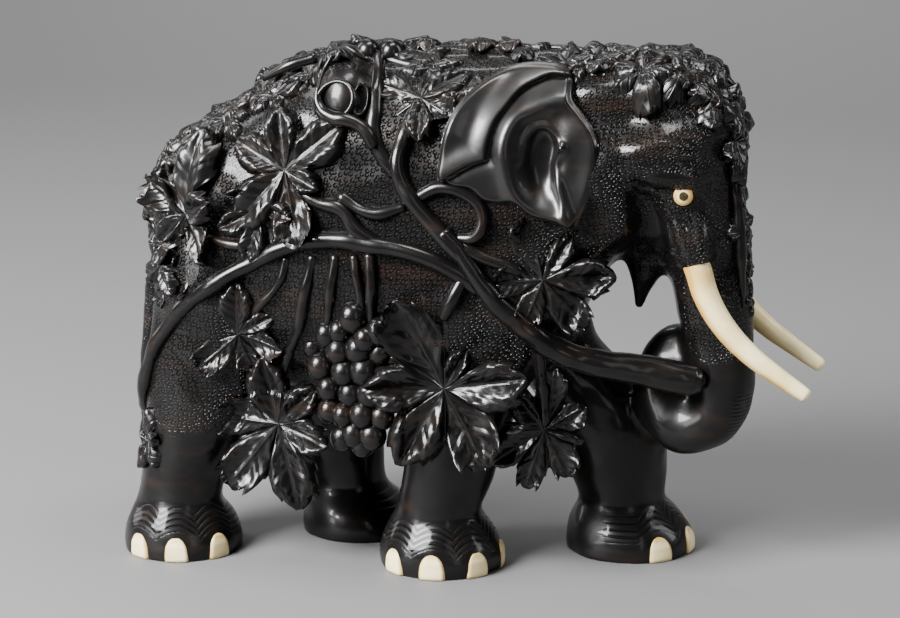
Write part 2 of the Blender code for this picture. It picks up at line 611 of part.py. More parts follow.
def tusk(name, side, gap):
    """Curved tusk, a little longer than it shows, or the socket for its hidden run."""
    root = Vector((TUSK[0][0], side * TUSK[0][1], TUSK[0][2])) * SHARE
    after = Vector((TUSK[1][0], side * TUSK[1][1], TUSK[1][2])) * SHARE
    inward = (root - after).normalized()
    start = root + inward * (TUSK_SOCKET_DEPTH + gap)
    root_radius = TUSK_ROOT_DIAMETER * 0.5
    tip_radius = TUSK_TIP_DIAMETER * 0.5
    route = [(start / SHARE, (root_radius + gap) / SHARE)]
    if gap > 0.0:
        route.append((root / SHARE, (root_radius + gap) / SHARE))
        route.append(((root - inward * TUSK_ROOT_DIAMETER) / SHARE, (root_radius + gap) / SHARE))
    else:
        for place, (x, y, z) in enumerate(TUSK):
            share = place / (len(TUSK) - 1)
            radius = root_radius + (tip_radius - root_radius) * share ** 1.5
            route.append(((x, side * y, z), radius / SHARE))
    shape = tube(name, route, 3, 2)
    shape.data.materials.clear()
    shape.data.materials.append(finish_material(IVORY))
    return shape


def eye_frame(side):
    facing = Vector((EYE_FACING[0], side * EYE_FACING[1], EYE_FACING[2])).normalized()
    place = Vector((EYE_PLACE[0], side * EYE_PLACE[1], EYE_PLACE[2])) * SHARE
    return Matrix.Translation(place) @ facing.to_track_quat("Z", "Y").to_matrix().to_4x4()


def disc(name, side, radius, low, high, crown, finish):
    """Round plug on the eye's axis from low to high, with a crowned face."""
    bm = bmesh.new()
    bmesh.ops.create_cone(bm, cap_ends=True, segments=EYE_SIDES, radius1=radius, radius2=radius, depth=high - low)
    bmesh.ops.translate(bm, vec=(0, 0, (high + low) * 0.5), verts=bm.verts)
    if crown > 0.0:
        top = max(bm.faces, key=lambda face: face.calc_center_median().z)
        bmesh.ops.inset_region(bm, faces=[top], thickness=radius * 0.4)
        bmesh.ops.translate(bm, vec=(0, 0, crown), verts=top.verts)
    bmesh.ops.transform(bm, matrix=eye_frame(side), verts=bm.verts)
    return new_object(name, bm, finish)


def eye(name, side):
    whole = disc(name, side, EYE_DIAMETER * 0.5, -EYE_DEPTH, 0.0, EYE_CROWN, IVORY)
    bore = disc("bore", side, PUPIL_DIAMETER * 0.5 + INLAY_GAP, -2.0 * EYE_DEPTH, EYE_DEPTH, 0.0, IVORY)
    cut(whole, [bore])
    return whole


def pupil(name, side):
    return disc(name, side, PUPIL_DIAMETER * 0.5, -EYE_DEPTH, EYE_CROWN, 0.0, HORN)


def inlays_and_pockets():
    inlays = []
    pockets = []
    for side, word in ((-1, "right"), (1, "left")):
        inlays.append(tusk("tusk_" + word, side, 0.0))
        pockets.append(tusk("socket", side, INLAY_GAP))
        inlays.append(eye("eye_" + word, side))
        inlays.append(pupil("pupil_" + word, side))
        depth = EYE_DEPTH + INLAY_GAP
        pockets.append(disc("eye_socket", side, EYE_DIAMETER * 0.5 + INLAY_GAP, -depth, EYE_DEPTH, 0.0, EBONY))
        for end, directions, width in (("front", FRONT_NAILS, FRONT_NAIL_WIDTH), ("rear", REAR_NAILS, REAR_NAIL_WIDTH)):
            for number, direction in enumerate(directions, 1):
                name = "nail_%s_%s_%d" % (end, word, number)
                inlays.append(nail(name, end + "_" + word, direction, width, 0.0))
                pockets.append(nail("pocket", end + "_" + word, direction, width, INLAY_GAP))
    return inlays, pockets


def stand_on_origin(things):
    """Puts the middle of the whole bounding box, on the ground, at the origin."""
    spots = [vert.co for thing in things for vert in thing.data.vertices]
    low = Vector([min(spot[axis] for spot in spots) for axis in range(3)])
    high = Vector([max(spot[axis] for spot in spots) for axis in range(3)])
    anchor = bpy.data.objects.new("elephant_origin", None)
    bpy.context.scene.collection.objects.link(anchor)
    anchor.location = (-0.5 * (low.x + high.x), -0.5 * (low.y + high.y), -low.z)
    for thing in things:
        thing.parent = anchor


def main():
    clear_scene()
    carving = carved_elephant()
    inlays, pockets = inlays_and_pockets()
    cut(carving, pockets + [sole_cutter()])
    carving.data.shade_smooth()
    carving.data.set_sharp_from_angle(angle=math.radians(CREASE_ANGLE))
    for inlay in inlays:
        inlay.data.shade_smooth()
        inlay.data.set_sharp_from_angle(angle=math.radians(CREASE_ANGLE))
    stand_on_origin([carving] + inlays)


main()
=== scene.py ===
"""Carved ebony elephant wrapped in vines, vine leaves and grapes, with ivory-coloured tusks, eyes and nails.

Forms are worked in millimetres in the carving's own frame, with the right side at -Y, and are set down
in the shared frame, in metres, when they are finished.
"""

import math
import random

import bmesh
import bpy
import numpy as np
from bpy.props import FloatProperty, IntProperty, PointerProperty
from bpy.types import Operator, Panel, PropertyGroup
from mathutils import Matrix, Vector, noise
from mathutils.bvhtree import BVHTree


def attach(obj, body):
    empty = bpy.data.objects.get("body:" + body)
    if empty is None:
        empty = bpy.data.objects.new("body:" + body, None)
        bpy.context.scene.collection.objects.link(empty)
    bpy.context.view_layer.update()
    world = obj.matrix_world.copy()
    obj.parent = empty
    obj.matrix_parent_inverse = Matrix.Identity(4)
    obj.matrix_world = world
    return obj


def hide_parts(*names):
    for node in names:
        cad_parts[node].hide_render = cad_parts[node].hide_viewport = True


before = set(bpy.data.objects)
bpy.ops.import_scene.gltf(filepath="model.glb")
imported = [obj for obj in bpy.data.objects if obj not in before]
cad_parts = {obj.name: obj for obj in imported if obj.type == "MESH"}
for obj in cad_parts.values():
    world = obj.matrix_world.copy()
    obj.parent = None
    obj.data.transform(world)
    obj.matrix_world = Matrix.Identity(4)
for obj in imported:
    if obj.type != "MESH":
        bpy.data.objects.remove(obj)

bl_info = {
    "name": "Carved Ebony Elephant",
    "version": (1, 0, 0),
    "blender": (4, 5, 0),
    "location": "View3D > Sidebar > Elephant",
    "description": "Builds an ebony elephant carving with vines, leaves, grapes and ivory-coloured inlays",
    "category": "Object",
}

MILLIMETRE = 0.001
# Step from the carving's own frame to the shared one, in millimetres
SHIFT = Vector((5.281, 1.775, 0.0))

# Torso rings along the length: place, middle height, half height, half width
TORSO = [
    (-144, 146, 12, 12), (-138, 142, 26, 23), (-128, 138, 40, 32), (-111, 134.5, 55.5, 40),
    (-89, 137, 66, 44), (-60, 142, 73, 46), (-30, 143, 74, 46.5), (0, 143.5, 74, 45.5),
    (22, 147.5, 70, 43), (37, 157, 61, 40), (49, 170, 48, 37), (60, 177, 41, 35), (72, 182, 36, 30),
]
TORSO_SQUARENESS = 2.5

# Head rings from the crown down to the trunk's root: height, middle, half length, half width
HEAD = [
    (219, 77, 12, 14), (215, 77, 21, 23), (206, 77, 26.5, 30), (194, 78, 29.5, 33), (181, 79, 29.5, 33),
    (168, 80, 28.5, 30), (157, 82, 27, 26), (147, 86, 24.5, 22), (139, 91, 20, 18), (130, 95, 17, 15.5),
]

# Middle line and radius of the trunk, from inside the head down and round to its tip
TRUNK = [
    ((92, 0, 150), 20), ((96.5, 0, 129), 17.0), ((99.8, 0, 109), 15.4), ((103, 0, 89), 13.8),
    ((101, 0, 71), 12.9), ((92, 1, 63.2), 12.6), ((81.5, 3, 64.5), 12.4), ((76, 6, 75), 12),
    ((77.5, 8, 87), 11.5), ((85, 10, 94.5), 10.5), ((93, 11, 90), 9.5), ((96, 11, 82), 8.5),
]
JAW = [((68, 0, 148), 15), ((69.5, 0, 138), 11.5), ((69.5, 0, 129), 7.5), ((68, 0, 120), 4.2),
       ((66.5, 0, 111.5), 2.0)]
CHEEK = [((84, 15, 164), 11), ((91, 19, 148), 9.6), ((94.8, 20.8, 136), 8.0)]
# Low bed along the back, on which the small leaves lie
BED = [((-96, 0, 196), 7), ((-80, 0, 203), 8), ((-60, 0, 210), 8.5), ((-20, 0, 212), 8.5),
       ((30, 0, 212), 8.5), ((70, 0, 212), 8), ((92, 0, 208), 7)]
BROW = [((68, 26, 184), 8.5), ((82, 26.5, 184.5), 8.0), ((95, 20, 183.5), 7.0)]
# Flattened balls that fill the trunk's curl and round the shoulder: middle and half sizes
MASSES = [((84, 2, 79), (14.5, 6.5, 19)), ((-4, -20, 118), (27, 27, 34)), ((-108, -22, 118), (30, 24, 36)),
          ((12, 18, 122), (27, 27, 34))]
TAIL = [((-138, 0, 138), 8), ((-143, -2, 118), 6), ((-147, -4, 92), 5.4), ((-149, -5, 62), 5),
        ((-148, -6, 41), 5)]

# Each leg: foot middle, foot radius, then rings up the leg as height, middle x, middle y, radii
LEGS = {
    "front_right": ((-13.5, -18), 26.6, [
        (23, -15, -18, 18, 18), (34, -12, -18.5, 18.6, 18.5), (47, -9, -19, 20.5, 20),
        (70, -4, -19, 23.5, 21.5), (96, 4, -18, 28, 23), (124, 10, -14, 31, 24), (146, 12, -8, 24, 18)]),
    "front_left": ((60.5, 24), 28.0, [
        (21, 57, 24, 18.6, 18), (31, 55, 24, 20.5, 19.5), (49, 53, 23, 24, 21),
        (68, 43.5, 22, 25, 22), (92, 21, 20, 25, 23), (118, 8, 15, 30, 24), (144, 6, 8, 24, 18)]),
    "rear_right": ((-128.5, -23), 25.8, [
        (22, -130, -23, 18, 17.5), (34, -127, -23, 19, 18.5), (46, -124, -23, 21, 20),
        (66, -119, -22, 24.5, 21.5), (94, -112, -20, 30, 23), (124, -105, -15, 34, 25),
        (148, -102, -9, 27, 20)]),
    "rear_left": ((-60.0, 20), 25.8, [
        (21, -66, 20, 16.5, 16.5), (32, -68, 20, 18, 18), (46, -71, 20, 20.5, 20),
        (68, -78, 19, 25, 21.5), (94, -88, 17, 31, 23), (122, -95, 13, 34, 25), (148, -98, 8, 27, 20)]),
}
# Foot profile: share of the foot's height, share of the way out from ankle to foot radius
FOOT_PROFILE = [(-0.14, 0.97), (0.0, 0.97), (0.10, 1.0), (0.30, 0.98), (0.55, 0.78), (0.78, 0.42),
                (0.93, 0.12)]

# Toenail directions on the right feet, in degrees from straight ahead towards the outer side
FRONT_NAILS = (-50.0, -5.0, 40.5, 85.5, 128.0)
REAR_NAILS = (33.0, 78.0, 120.0)

TUSK = [(95, 21, 135), (98.5, 22, 125), (106, 23.5, 113), (117, 24.5, 102), (129, 24.8, 93.5),
        (142, 24.5, 85)]
EYE_PLACE = (89.5, 28.6, 167.0)
EYE_FACING = (0.22, 1.0, 0.05)

# Broken branch on the shoulder: middle line and radius, and the hollow in it
STUMP = [((-60, -6, 213), 6), ((-56, -17, 210), 9), ((-52, -26, 205), 11.5), ((-50, -30, 198), 12),
         ((-49, -32, 192), 9.5)]

# Grooves and folds carved in both sides of the skin: points as length and height, half width, depth
# (negative stands proud)
SIDE_STROKES = [
    ([(74, 181.5), (82, 182.5), (93, 182)], 0.9, 0.9),
    ([(77, 186), (86, 187), (94, 186)], 0.8, 0.7),
    ([(80, 190), (87, 191), (93, 190)], 0.8, 0.5),
    ([(70, 173), (76, 169.5), (83, 168.5), (86, 169)], 0.9, 1.4),
    ([(72, 170), (80, 167), (85, 166)], 0.8, 0.8),
    ([(70, 176), (80, 174), (92, 174.5)], 4.5, -2.2),
    ([(74, 162), (76, 154), (78, 146), (79, 139)], 6.0, 3.4),
    ([(71, 166), (75, 161), (77, 154)], 7.0, 1.6),
    ([(62, 160), (65, 151), (69, 142)], 5.5, -1.4),
    ([(84, 162), (86, 158), (90, 154)], 1.3, 0.6),
    ([(87.5, 161), (89, 156), (92, 150)], 1.2, 0.6),
    ([(92, 161), (93, 156), (94.5, 150)], 1.2, 0.5),
    ([(56, 173), (61, 179), (72, 185), (85, 189.5), (97, 192)], 7.0, -2.6),
    ([(45, 199), (64, 198), (78, 199.5), (90, 202)], 7.5, 3.0),
    ([(50, 210), (66, 210), (82, 211)], 7.0, -1.5),
    ([(33, 170), (33, 192)], 9.0, 5.5),
    ([(58, 160), (50, 150), (42, 146)], 6.0, 2.2),
]


def profile_at(table, at, column):
    """Value of a column of a table at a place along its first column, in straight runs."""
    return float(np.interp(at, [row[0] for row in table], [row[column] for row in table]))


def on_side(side, spot):
    """Point or direction of the left side, or its mirror image on the right side."""
    return Vector((spot[0], side * spot[1], spot[2]))


def rising(value, start, run):
    """Share that grows from 0 at the start to 1 after the run."""
    return np.clip((value - start) / run, 0.0, 1.0)


def falling(value, end, run):
    """Share that falls to 0 at the end over the run."""
    return np.clip((end - value) / run, 0.0, 1.0)


def ridge(distance, height, half_width):
    """Rounded ridge along a line, from the distance to it."""
    return height * np.exp(-((distance / half_width) ** 2))


def oval(x, z, middle, halves):
    """0 in the middle of an oval seen from the side, and 1 on its edge."""
    return ((x - middle[0]) / halves[0]) ** 2 + ((z - middle[1]) / halves[1]) ** 2


def patch(x, z, middle, halves):
    """Soft oval patch, seen from the side."""
    return np.exp(-oval(x, z, middle, halves))


def turn_between(first, second):
    return (first - second + 180.0) % 360.0 - 180.0


def across_and_up(face_way):
    """Two directions that span the plane facing a way, the second one pointing up where it can."""
    across = Vector((1, 0, 0)) if abs(face_way.x) < 0.9 else Vector((0, 1, 0))
    across = (across - face_way * across.dot(face_way)).normalized()
    up = across.cross(face_way)
    if abs(face_way.z) < 0.9 and up.z < 0:
        up.negate()
    return across, up


def new_object(name, bm):
    """Object of this mesh, with its faces turned outwards."""
    bmesh.ops.recalc_face_normals(bm, faces=bm.faces)
    mesh = bpy.data.meshes.new(name)
    bm.to_mesh(mesh)
    bm.free()
    thing = bpy.data.objects.new(name, mesh)
    bpy.context.scene.collection.objects.link(thing)
    return thing


def discard(thing):
    mesh = thing.data
    bpy.data.objects.remove(thing, do_unlink=True)
    if mesh.users == 0 and isinstance(mesh, bpy.types.Mesh):
        bpy.data.meshes.remove(mesh)


def apply_modifiers(thing):
    bpy.context.view_layer.update()
    mesh = bpy.data.meshes.new_from_object(thing.evaluated_get(bpy.context.evaluated_depsgraph_get()))
    old = thing.data
    thing.modifiers.clear()
    thing.data = mesh
    bpy.data.meshes.remove(old)


def join_meshes(name, things, kept=()):
    """One mesh of them all, with the named values of their points."""
    values = {key: np.concatenate([values_of(thing.data, key) for thing in things]) for key in kept}
    bm = bmesh.new()
    for thing in things:
        bm.from_mesh(thing.data)
        discard(thing)
    joined = new_object(name, bm)
    for key, value in values.items():
        add_value(joined.data, key, value)
    return joined


def melt(thing, grain):
    """Melts overlapping closed forms into one closed skin."""
    remesh = thing.modifiers.new("Melt", "REMESH")
    remesh.mode = "VOXEL"
    remesh.voxel_size = grain
    apply_modifiers(thing)


def relax(thing, rounds):
    smooth = thing.modifiers.new("Relax", "SMOOTH")
    smooth.factor = 0.5
    smooth.iterations = rounds
    apply_modifiers(thing)


def thin_out(thing, triangles):
    """Fewer triangles where the form is plain, and as many where it is carved."""
    thing.data.calc_loop_triangles()
    count = len(thing.data.loop_triangles)
    if count > triangles:
        reduce = thing.modifiers.new("Thin out", "DECIMATE")
        reduce.ratio = triangles / count
        apply_modifiers(thing)


def set_down(thing, material, nodes=()):
    """Takes a finished form from millimetres to the shared frame and hands it over."""
    thing.data.transform(Matrix.Scale(MILLIMETRE, 4) @ Matrix.Translation(SHIFT))
    thing.data.materials.clear()
    thing.data.materials.append(material)
    thing.data.shade_smooth()
    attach(thing, "root")
    if nodes:
        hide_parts(*nodes)
    return thing


def swell(value, squareness):
    return math.copysign(abs(value) ** (2.0 / squareness), value)


def loft(name, rings, sides=48, squareness=2.0):
    """Closed skin over rings. A ring is a middle, two radii and the two directions that they run in."""
    bm = bmesh.new()
    loops = []
    for middle, radius_u, radius_v, along_u, along_v in rings:
        made = bmesh.ops.create_circle(bm, cap_ends=False, segments=sides, radius=1.0)
        for vert in made["verts"]:
            reach_u = Vector(along_u) * (swell(vert.co.x, squareness) * radius_u)
            reach_v = Vector(along_v) * (swell(vert.co.y, squareness) * radius_v)
            vert.co = Vector(middle) + reach_u + reach_v
        loops.append(list({edge for vert in made["verts"] for edge in vert.link_edges}))
    for low, high in zip(loops, loops[1:]):
        bmesh.ops.bridge_loops(bm, edges=low + high)
    for ends in (loops[0], loops[-1]):
        bmesh.ops.contextual_create(bm, geom=ends)
    return new_object(name, bm)


def tube(name, route, bevel_steps=5, curve_steps=6):
    """Round stem on a smooth curve through the route's points, each with its radius."""
    curve = bpy.data.curves.new(name, "CURVE")
    curve.dimensions = "3D"
    curve.bevel_depth = 1.0
    curve.bevel_resolution = bevel_steps
    curve.resolution_u = curve_steps
    curve.use_fill_caps = True
    spline = curve.splines.new("BEZIER")
    spline.bezier_points.add(len(route) - 1)
    for point, (spot, radius) in zip(spline.bezier_points, route):
        point.co = Vector(spot)
        point.radius = radius
        point.handle_left_type = "AUTO"
        point.handle_right_type = "AUTO"
    shaped = bpy.data.objects.new(name + "_curve", curve)
    bpy.context.scene.collection.objects.link(shaped)
    bpy.context.view_layer.update()
    mesh = bpy.data.meshes.new_from_object(shaped.evaluated_get(bpy.context.evaluated_depsgraph_get()))
    bpy.data.objects.remove(shaped, do_unlink=True)
    bpy.data.curves.remove(curve)
    bm = bmesh.new()
    bm.from_mesh(mesh)
    bmesh.ops.remove_doubles(bm, verts=bm.verts, dist=0.01)
    bpy.data.meshes.remove(mesh)
    return new_object(name, bm)


def foot_section(name, share_of_height):
    """Middle and radius of a foot at a share of its height."""
    (foot_x, foot_y), foot, uppers = LEGS[name]
    _, ankle_x, ankle_y, ankle, _ = uppers[0]
    slide = max(0.0, share_of_height) ** 2
    radius = ankle + (foot - ankle) * profile_at(FOOT_PROFILE, share_of_height, 1)
    return foot_x + (ankle_x - foot_x) * slide, foot_y + (ankle_y - foot_y) * slide, radius


def leg(name):
    uppers = LEGS[name][2]
    rings = []
    for share_of_height, _ in FOOT_PROFILE:
        x, y, radius = foot_section(name, share_of_height)
        rings.append(((x, y, uppers[0][0] * share_of_height), radius, radius, (1, 0, 0), (0, 1, 0)))
    for height, x, y, radius_x, radius_y in uppers:
        rings.append(((x, y, height), radius_x, radius_y, (1, 0, 0), (0, 1, 0)))
    return loft(name + "_leg", rings)


def points_of(mesh):
    flat = np.empty(len(mesh.vertices) * 3, np.float32)
    mesh.vertices.foreach_get("co", flat)
    return flat.reshape(-1, 3).astype(float)


def normals_of(mesh):
    flat = np.empty(len(mesh.vertices) * 3, np.float32)
    mesh.vertex_normals.foreach_get("vector", flat)
    return flat.reshape(-1, 3).astype(float)


def put_points(mesh, spots):
    mesh.vertices.foreach_set("co", spots.astype(np.float32).ravel())
    mesh.update()


def distance_to_path(spots, path):
    """Distance from each point to a path of straight runs, in as many dimensions as the path has."""
    path = np.asarray(path, float)
    nearest = np.full(len(spots), 1e9)
    for start, end in zip(path, path[1:]):
        run = end - start
        along = np.clip(((spots - start) @ run) / (run @ run), 0.0, 1.0)
        gap = np.linalg.norm(spots - (start + along[:, None] * run), axis=1)
        nearest = np.minimum(nearest, gap)
    return nearest


def carve_side_strokes(thing):
    """Presses the strokes into both sides of the head and shoulder, along the skin's normals."""
    spots = points_of(thing.data)
    normals = normals_of(thing.data)
    sides = spots[:, [0, 2]]
    depth = np.zeros(len(spots))
    for path, half_width, stroke_depth in SIDE_STROKES:
        low = np.min(path, axis=0) - 3.0 * half_width
        high = np.max(path, axis=0) + 3.0 * half_width
        near = np.all((sides > low) & (sides < high), axis=1) & (np.abs(spots[:, 1]) > 9.0)
        gap = distance_to_path(sides[near], path)
        depth[near] += ridge(gap, stroke_depth, half_width)
    facing = np.clip(np.abs(normals[:, 1]) * 1.6, 0.0, 1.0)
    put_points(thing.data, spots - normals * (depth * facing)[:, None])


def hand_worked(thing, depth, length):
    """Slight unevenness of hand-cut wood, along the skin's normals."""
    spots = points_of(thing.data)
    swells = np.array([noise.noise(Vector(spot) / length) for spot in spots])
    put_points(thing.data, spots + normals_of(thing.data) * (swells * depth)[:, None])


def level_soles(thing):
    """Flat soles at height nought."""
    spots = points_of(thing.data)
    spots[:, 2] = np.maximum(spots[:, 2], 0.0)
    put_points(thing.data, spots)


# Grooves over the toenails: height of the first one, spacing, how many, rise and half width in degrees of
# their arches, top of the grooved part, and the middle and reach in degrees of their run round the foot
FIRST_GROOVE = 8.6
GROOVE_SPACING = 2.6
GROOVES = 4.7
ARCH_RISE = 4.8
ARCH_TURN = 22.0
FOOT_TOP = 40.0
GROOVES_AIM = 40.0
GROOVES_TURN = {"front": 150.0, "rear": 108.0}
# Where the punch marks set in: a place and the run over which they grow, on the body, on the trunk's front
# and under the belly, which stays smooth
BODY_PUNCHED_ABOVE = (52.0, 26.0)
TRUNK_TOP = 128.0
TRUNK_BACK = 58.0
TRUNK_PUNCHED_ABOVE = (92.0, 14.0)
TRUNK_PUNCHED_AHEAD = (86.0, 6.0)
BELLY_BELOW = (88.0, 10.0)
BELLY_WITHIN = (16.0, 6.0)
RUMP_END = -139.0
RUMP_PUNCH = 0.35
# Rings round the trunk's end: ahead of, below and above these places
RINGS_AHEAD = (106.0, 4.0)
RINGS_BELOW = (82.0, 6.0)
RINGS_ABOVE = (56.0, 4.0)
# Patches left smooth among the punch marks: middle and half sizes, as length and height
LID_PATCH = ((84.0, 175.5), (12.0, 3.2))
CHEEK_PATCH = ((77.0, 150.0), (5.5, 14.0))
STUMP_PATCH = ((-50.0, 204.0), (14.0, 13.0))


def foot_marks(spots):
    """For every point: how many grooves up from the nails it lies, and how much it is foot."""
    count = np.zeros(len(spots), np.float32)
    mask = np.zeros(len(spots), np.float32)
    for name, ((foot_x, foot_y), foot, _) in LEGS.items():
        directions = FRONT_NAILS if name.startswith("front") else REAR_NAILS
        outer = 1.0 if name.endswith("left") else -1.0
        near = (np.hypot(spots[:, 0] - foot_x, spots[:, 1] - foot_y) < foot +
                4.0) & (spots[:, 2] < FOOT_TOP)
        turn = np.degrees(np.arctan2((spots[near, 1] - foot_y) * outer, spots[near, 0] - foot_x))
        gaps = np.min([np.abs(turn_between(turn, way)) for way in directions], axis=0)
        arch = ARCH_RISE * np.cos(np.radians(np.minimum(gaps, ARCH_TURN) / ARCH_TURN * 90.0)) ** 0.9
        arch *= np.clip(1.25 - spots[near, 2] / FOOT_TOP, 0.3, 1.0)
        level = (spots[near, 2] - FIRST_GROOVE - arch) / GROOVE_SPACING
        count[near] = level
        fade = rising(level, 0.0, 0.6) * falling(level, GROOVES, 2.0)
        reach = GROOVES_TURN[name.split("_")[0]]
        back = falling(np.abs(turn_between(turn, GROOVES_AIM)), reach, 25.0)
        mask[near] = fade * back
    return count, mask


def add_value(mesh, name, values):
    attribute = mesh.attributes.get(name) or mesh.attributes.new(name, "FLOAT", "POINT")
    attribute.data.foreach_set("value", np.asarray(values, np.float32))


def values_of(mesh, name):
    values = np.empty(len(mesh.vertices), np.float32)
    mesh.attributes[name].data.foreach_get("value", values)
    return values


def mark_skin(thing):
    """Where the skin is punched, where the feet are grooved and where the trunk is ringed."""
    spots = points_of(thing.data)
    x, y, z = spots.T
    punch = rising(z, *BODY_PUNCHED_ABOVE)
    trunk = (x > TRUNK_BACK) & (z < TRUNK_TOP)
    punch[trunk] = rising(z[trunk], *TRUNK_PUNCHED_ABOVE) * rising(x[trunk], *TRUNK_PUNCHED_AHEAD)
    punch *= 1.0 - falling(z, *BELLY_BELOW) * falling(np.abs(y), *BELLY_WITHIN)
    punch[x < RUMP_END] *= RUMP_PUNCH
    lid = patch(x, z, *LID_PATCH) * (np.abs(y) > 15.0)
    cheek = patch(x, z, *CHEEK_PATCH) * (np.abs(y) > 5.0)
    punch *= np.clip(1.0 - 1.2 * lid - 1.2 * cheek, 0.0, 1.0)
    stump = patch(x, z, *STUMP_PATCH) * (y < -18.0)
    punch *= np.clip(1.0 - 1.6 * stump, 0.0, 1.0)
    add_value(thing.data, "punch", punch)
    count, mask = foot_marks(spots)
    add_value(thing.data, "groove_count", count)
    add_value(thing.data, "groove_mask", mask)
    rings = rising(x, *RINGS_AHEAD) * falling(z, *RINGS_BELOW) * rising(z, *RINGS_ABOVE)
    add_value(thing.data, "ring_mask", rings)


def lay_out(mesh):
    """Texture layout in millimetres: each face is seen along the axis that it faces most."""
    layout = mesh.uv_layers.new(name="Skin")
    spots = points_of(mesh)
    corners = np.empty(len(mesh.loops), np.int32)
    mesh.loops.foreach_get("vertex_index", corners)
    facing = np.empty(len(mesh.polygons) * 3, np.float32)
    mesh.polygons.foreach_get("normal", facing)
    sizes = np.empty(len(mesh.polygons), np.int32)
    mesh.polygons.foreach_get("loop_total", sizes)
    axis = np.repeat(np.argmax(np.abs(facing.reshape(-1, 3)) * (1.0, 1.15, 1.0), axis=1), sizes)
    seen_u = np.where(axis == 0, spots[corners, 1], spots[corners, 0])
    seen_v = np.where(axis == 2, spots[corners, 1], spots[corners, 2])
    pairs = np.stack([seen_u + 37.0 * axis, seen_v], axis=1)
    layout.data.foreach_set("uv", pairs.astype(np.float32).ravel())


def body_form():
    rings = [((x, 0, z), wide, tall, (0, 1, 0), (0, 0, 1)) for x, z, tall, wide in TORSO]
    forms = [loft("torso", rings, 64, TORSO_SQUARENESS)]
    forms.append(loft("head", [((x, 0, z), long, wide, (1, 0, 0), (0, 1, 0)) for z, x, long, wide in HEAD]))
    forms += [leg(name) for name in LEGS]
    forms += [tube("trunk", TRUNK, 10, 12), tube("jaw", JAW), tube("tail", TAIL), tube("stump", STUMP, 8),
              tube("bed", BED, 8)]
    for middle, halves in MASSES:
        bm = bmesh.new()
        bmesh.ops.create_uvsphere(bm, u_segments=40, v_segments=24, radius=1.0)
        bmesh.ops.transform(bm, matrix=Matrix.Translation(middle) @ Matrix.Diagonal(halves).to_4x4(),
                            verts=bm.verts)
        forms.append(new_object("mass", bm))
    for side in (-1, 1):
        forms.append(tube("cheek", [((x, side * y, z), r) for (x, y, z), r in CHEEK], 8))
        forms.append(tube("brow", [((x, side * y, z), r) for (x, y, z), r in BROW], 8))
    return join_meshes("ebony_body", forms)


class Skin:
    """The body's finished skin, for laying vines and leaves on it."""
    tree = None

    @classmethod
    def remember(cls, mesh):
        bm = bmesh.new()
        bm.from_mesh(mesh)
        cls.tree = BVHTree.FromBMesh(bm)
        bm.free()

    @classmethod
    def side_at(cls, side, x, z, fallback=30.0):
        """Distance from the middle plane to the skin, looked at from that side."""
        hit = cls.tree.ray_cast(Vector((x, side * 90.0, z)), Vector((0, -side, 0)), 90.0)[0]
        return abs(hit.y) if hit is not None else fallback

    @classmethod
    def below(cls, spot, way, reach):
        """Height of the skin over a point, measured along a direction, or None."""
        hit = cls.tree.ray_cast(spot + way * reach, -way, 2.0 * reach)[0]
        return (hit - spot).dot(way) if hit is not None else None


# Vines on the right side: name, radius at the start and end, lift off the skin, then length and height
VINES = [
    ("upright", 3.2, 3.2, 1.0, [(-44, 218), (-38.5, 208), (-37.5, 199), (-37, 190), (-32, 180),
                                (-27, 173)]),
    ("big_stem", 3.0, 4.2, 2.8, [(-19, 201), (-22.5, 191), (-25.5, 180), (-22.5, 169), (-16, 160),
                                 (-9, 152.5), (-1, 144), (7, 136)]),
    ("stub_left", 1.2, 1.6, 0.8, [(-57, 219), (-60.5, 212), (-62.5, 204)]),
    ("top_twig", 1.6, 2.6, 1.0, [(-87, 208), (-76, 213.5), (-64, 217.5)]),
    ("main_arc", 3.2, 3.8, 2.2, [(-146, 52), (-143, 66), (-138, 85), (-127, 103), (-105, 123), (-88, 133),
                                 (-70, 142), (-54, 145), (-39, 144), (-20, 142), (-3, 135), (9, 127)]),
    ("second", 3.0, 3.0, 2.0, [(-68, 165), (-58, 160), (-49, 158), (-42, 150), (-33, 144)]),
    ("third", 2.8, 2.4, 1.6, [(-50, 163), (-35, 157), (-22, 160)]),
    ("loop", 2.8, 2.6, 2.2, [(-18, 163), (-7, 169), (4, 166), (10, 159), (8, 150), (0, 148)]),
    ("stub", 2.8, 2.4, 3.0, [(-1, 146), (11, 141), (26, 135)]),
    ("cut_twig", 3.0, 3.0, 2.0, [(4, 134), (-2, 123), (-6, 115)]),
    ("grape_stem", 2.6, 2.4, 3.0, [(-37, 140), (-36, 130), (-37, 110)]),
    ("grape_stem_two", 2.2, 2.0, 2.0, [(-44, 139), (-42, 128), (-40, 112)]),
    ("hanging_stem", 2.6, 2.4, 1.4, [(-61, 138), (-65, 122), (-69, 106), (-76, 92)]),
    ("hanging_stem_two", 2.4, 2.2, 1.4, [(-51.5, 139), (-54, 122), (-57, 104)]),
    ("hanging_stem_three", 2.2, 2.0, 1.4, [(-73, 136), (-76, 126), (-84, 116), (-90, 110)]),
    ("twig", 2.0, 2.0, 1.6, [(-112, 142), (-98, 140), (-86, 138), (-84, 134)]),
]
LEFT_VINES = [
    ("left_stem", 3.4, 3.6, 2.0, [(-140, 84), (-120, 112), (-92, 134), (-60, 145), (-28, 143), (0, 134),
                                  (30, 116)]),
    ("left_upright", 3.2, 3.0, 1.6, [(-52, 214), (-47, 196), (-44, 172), (-38, 146)]),
    ("left_hanging", 2.6, 2.4, 2.0, [(-34, 143), (-33, 122), (-34, 100)]),
    ("left_twig", 2.4, 2.2, 2.0, [(-92, 134), (-80, 150), (-66, 160)]),
]
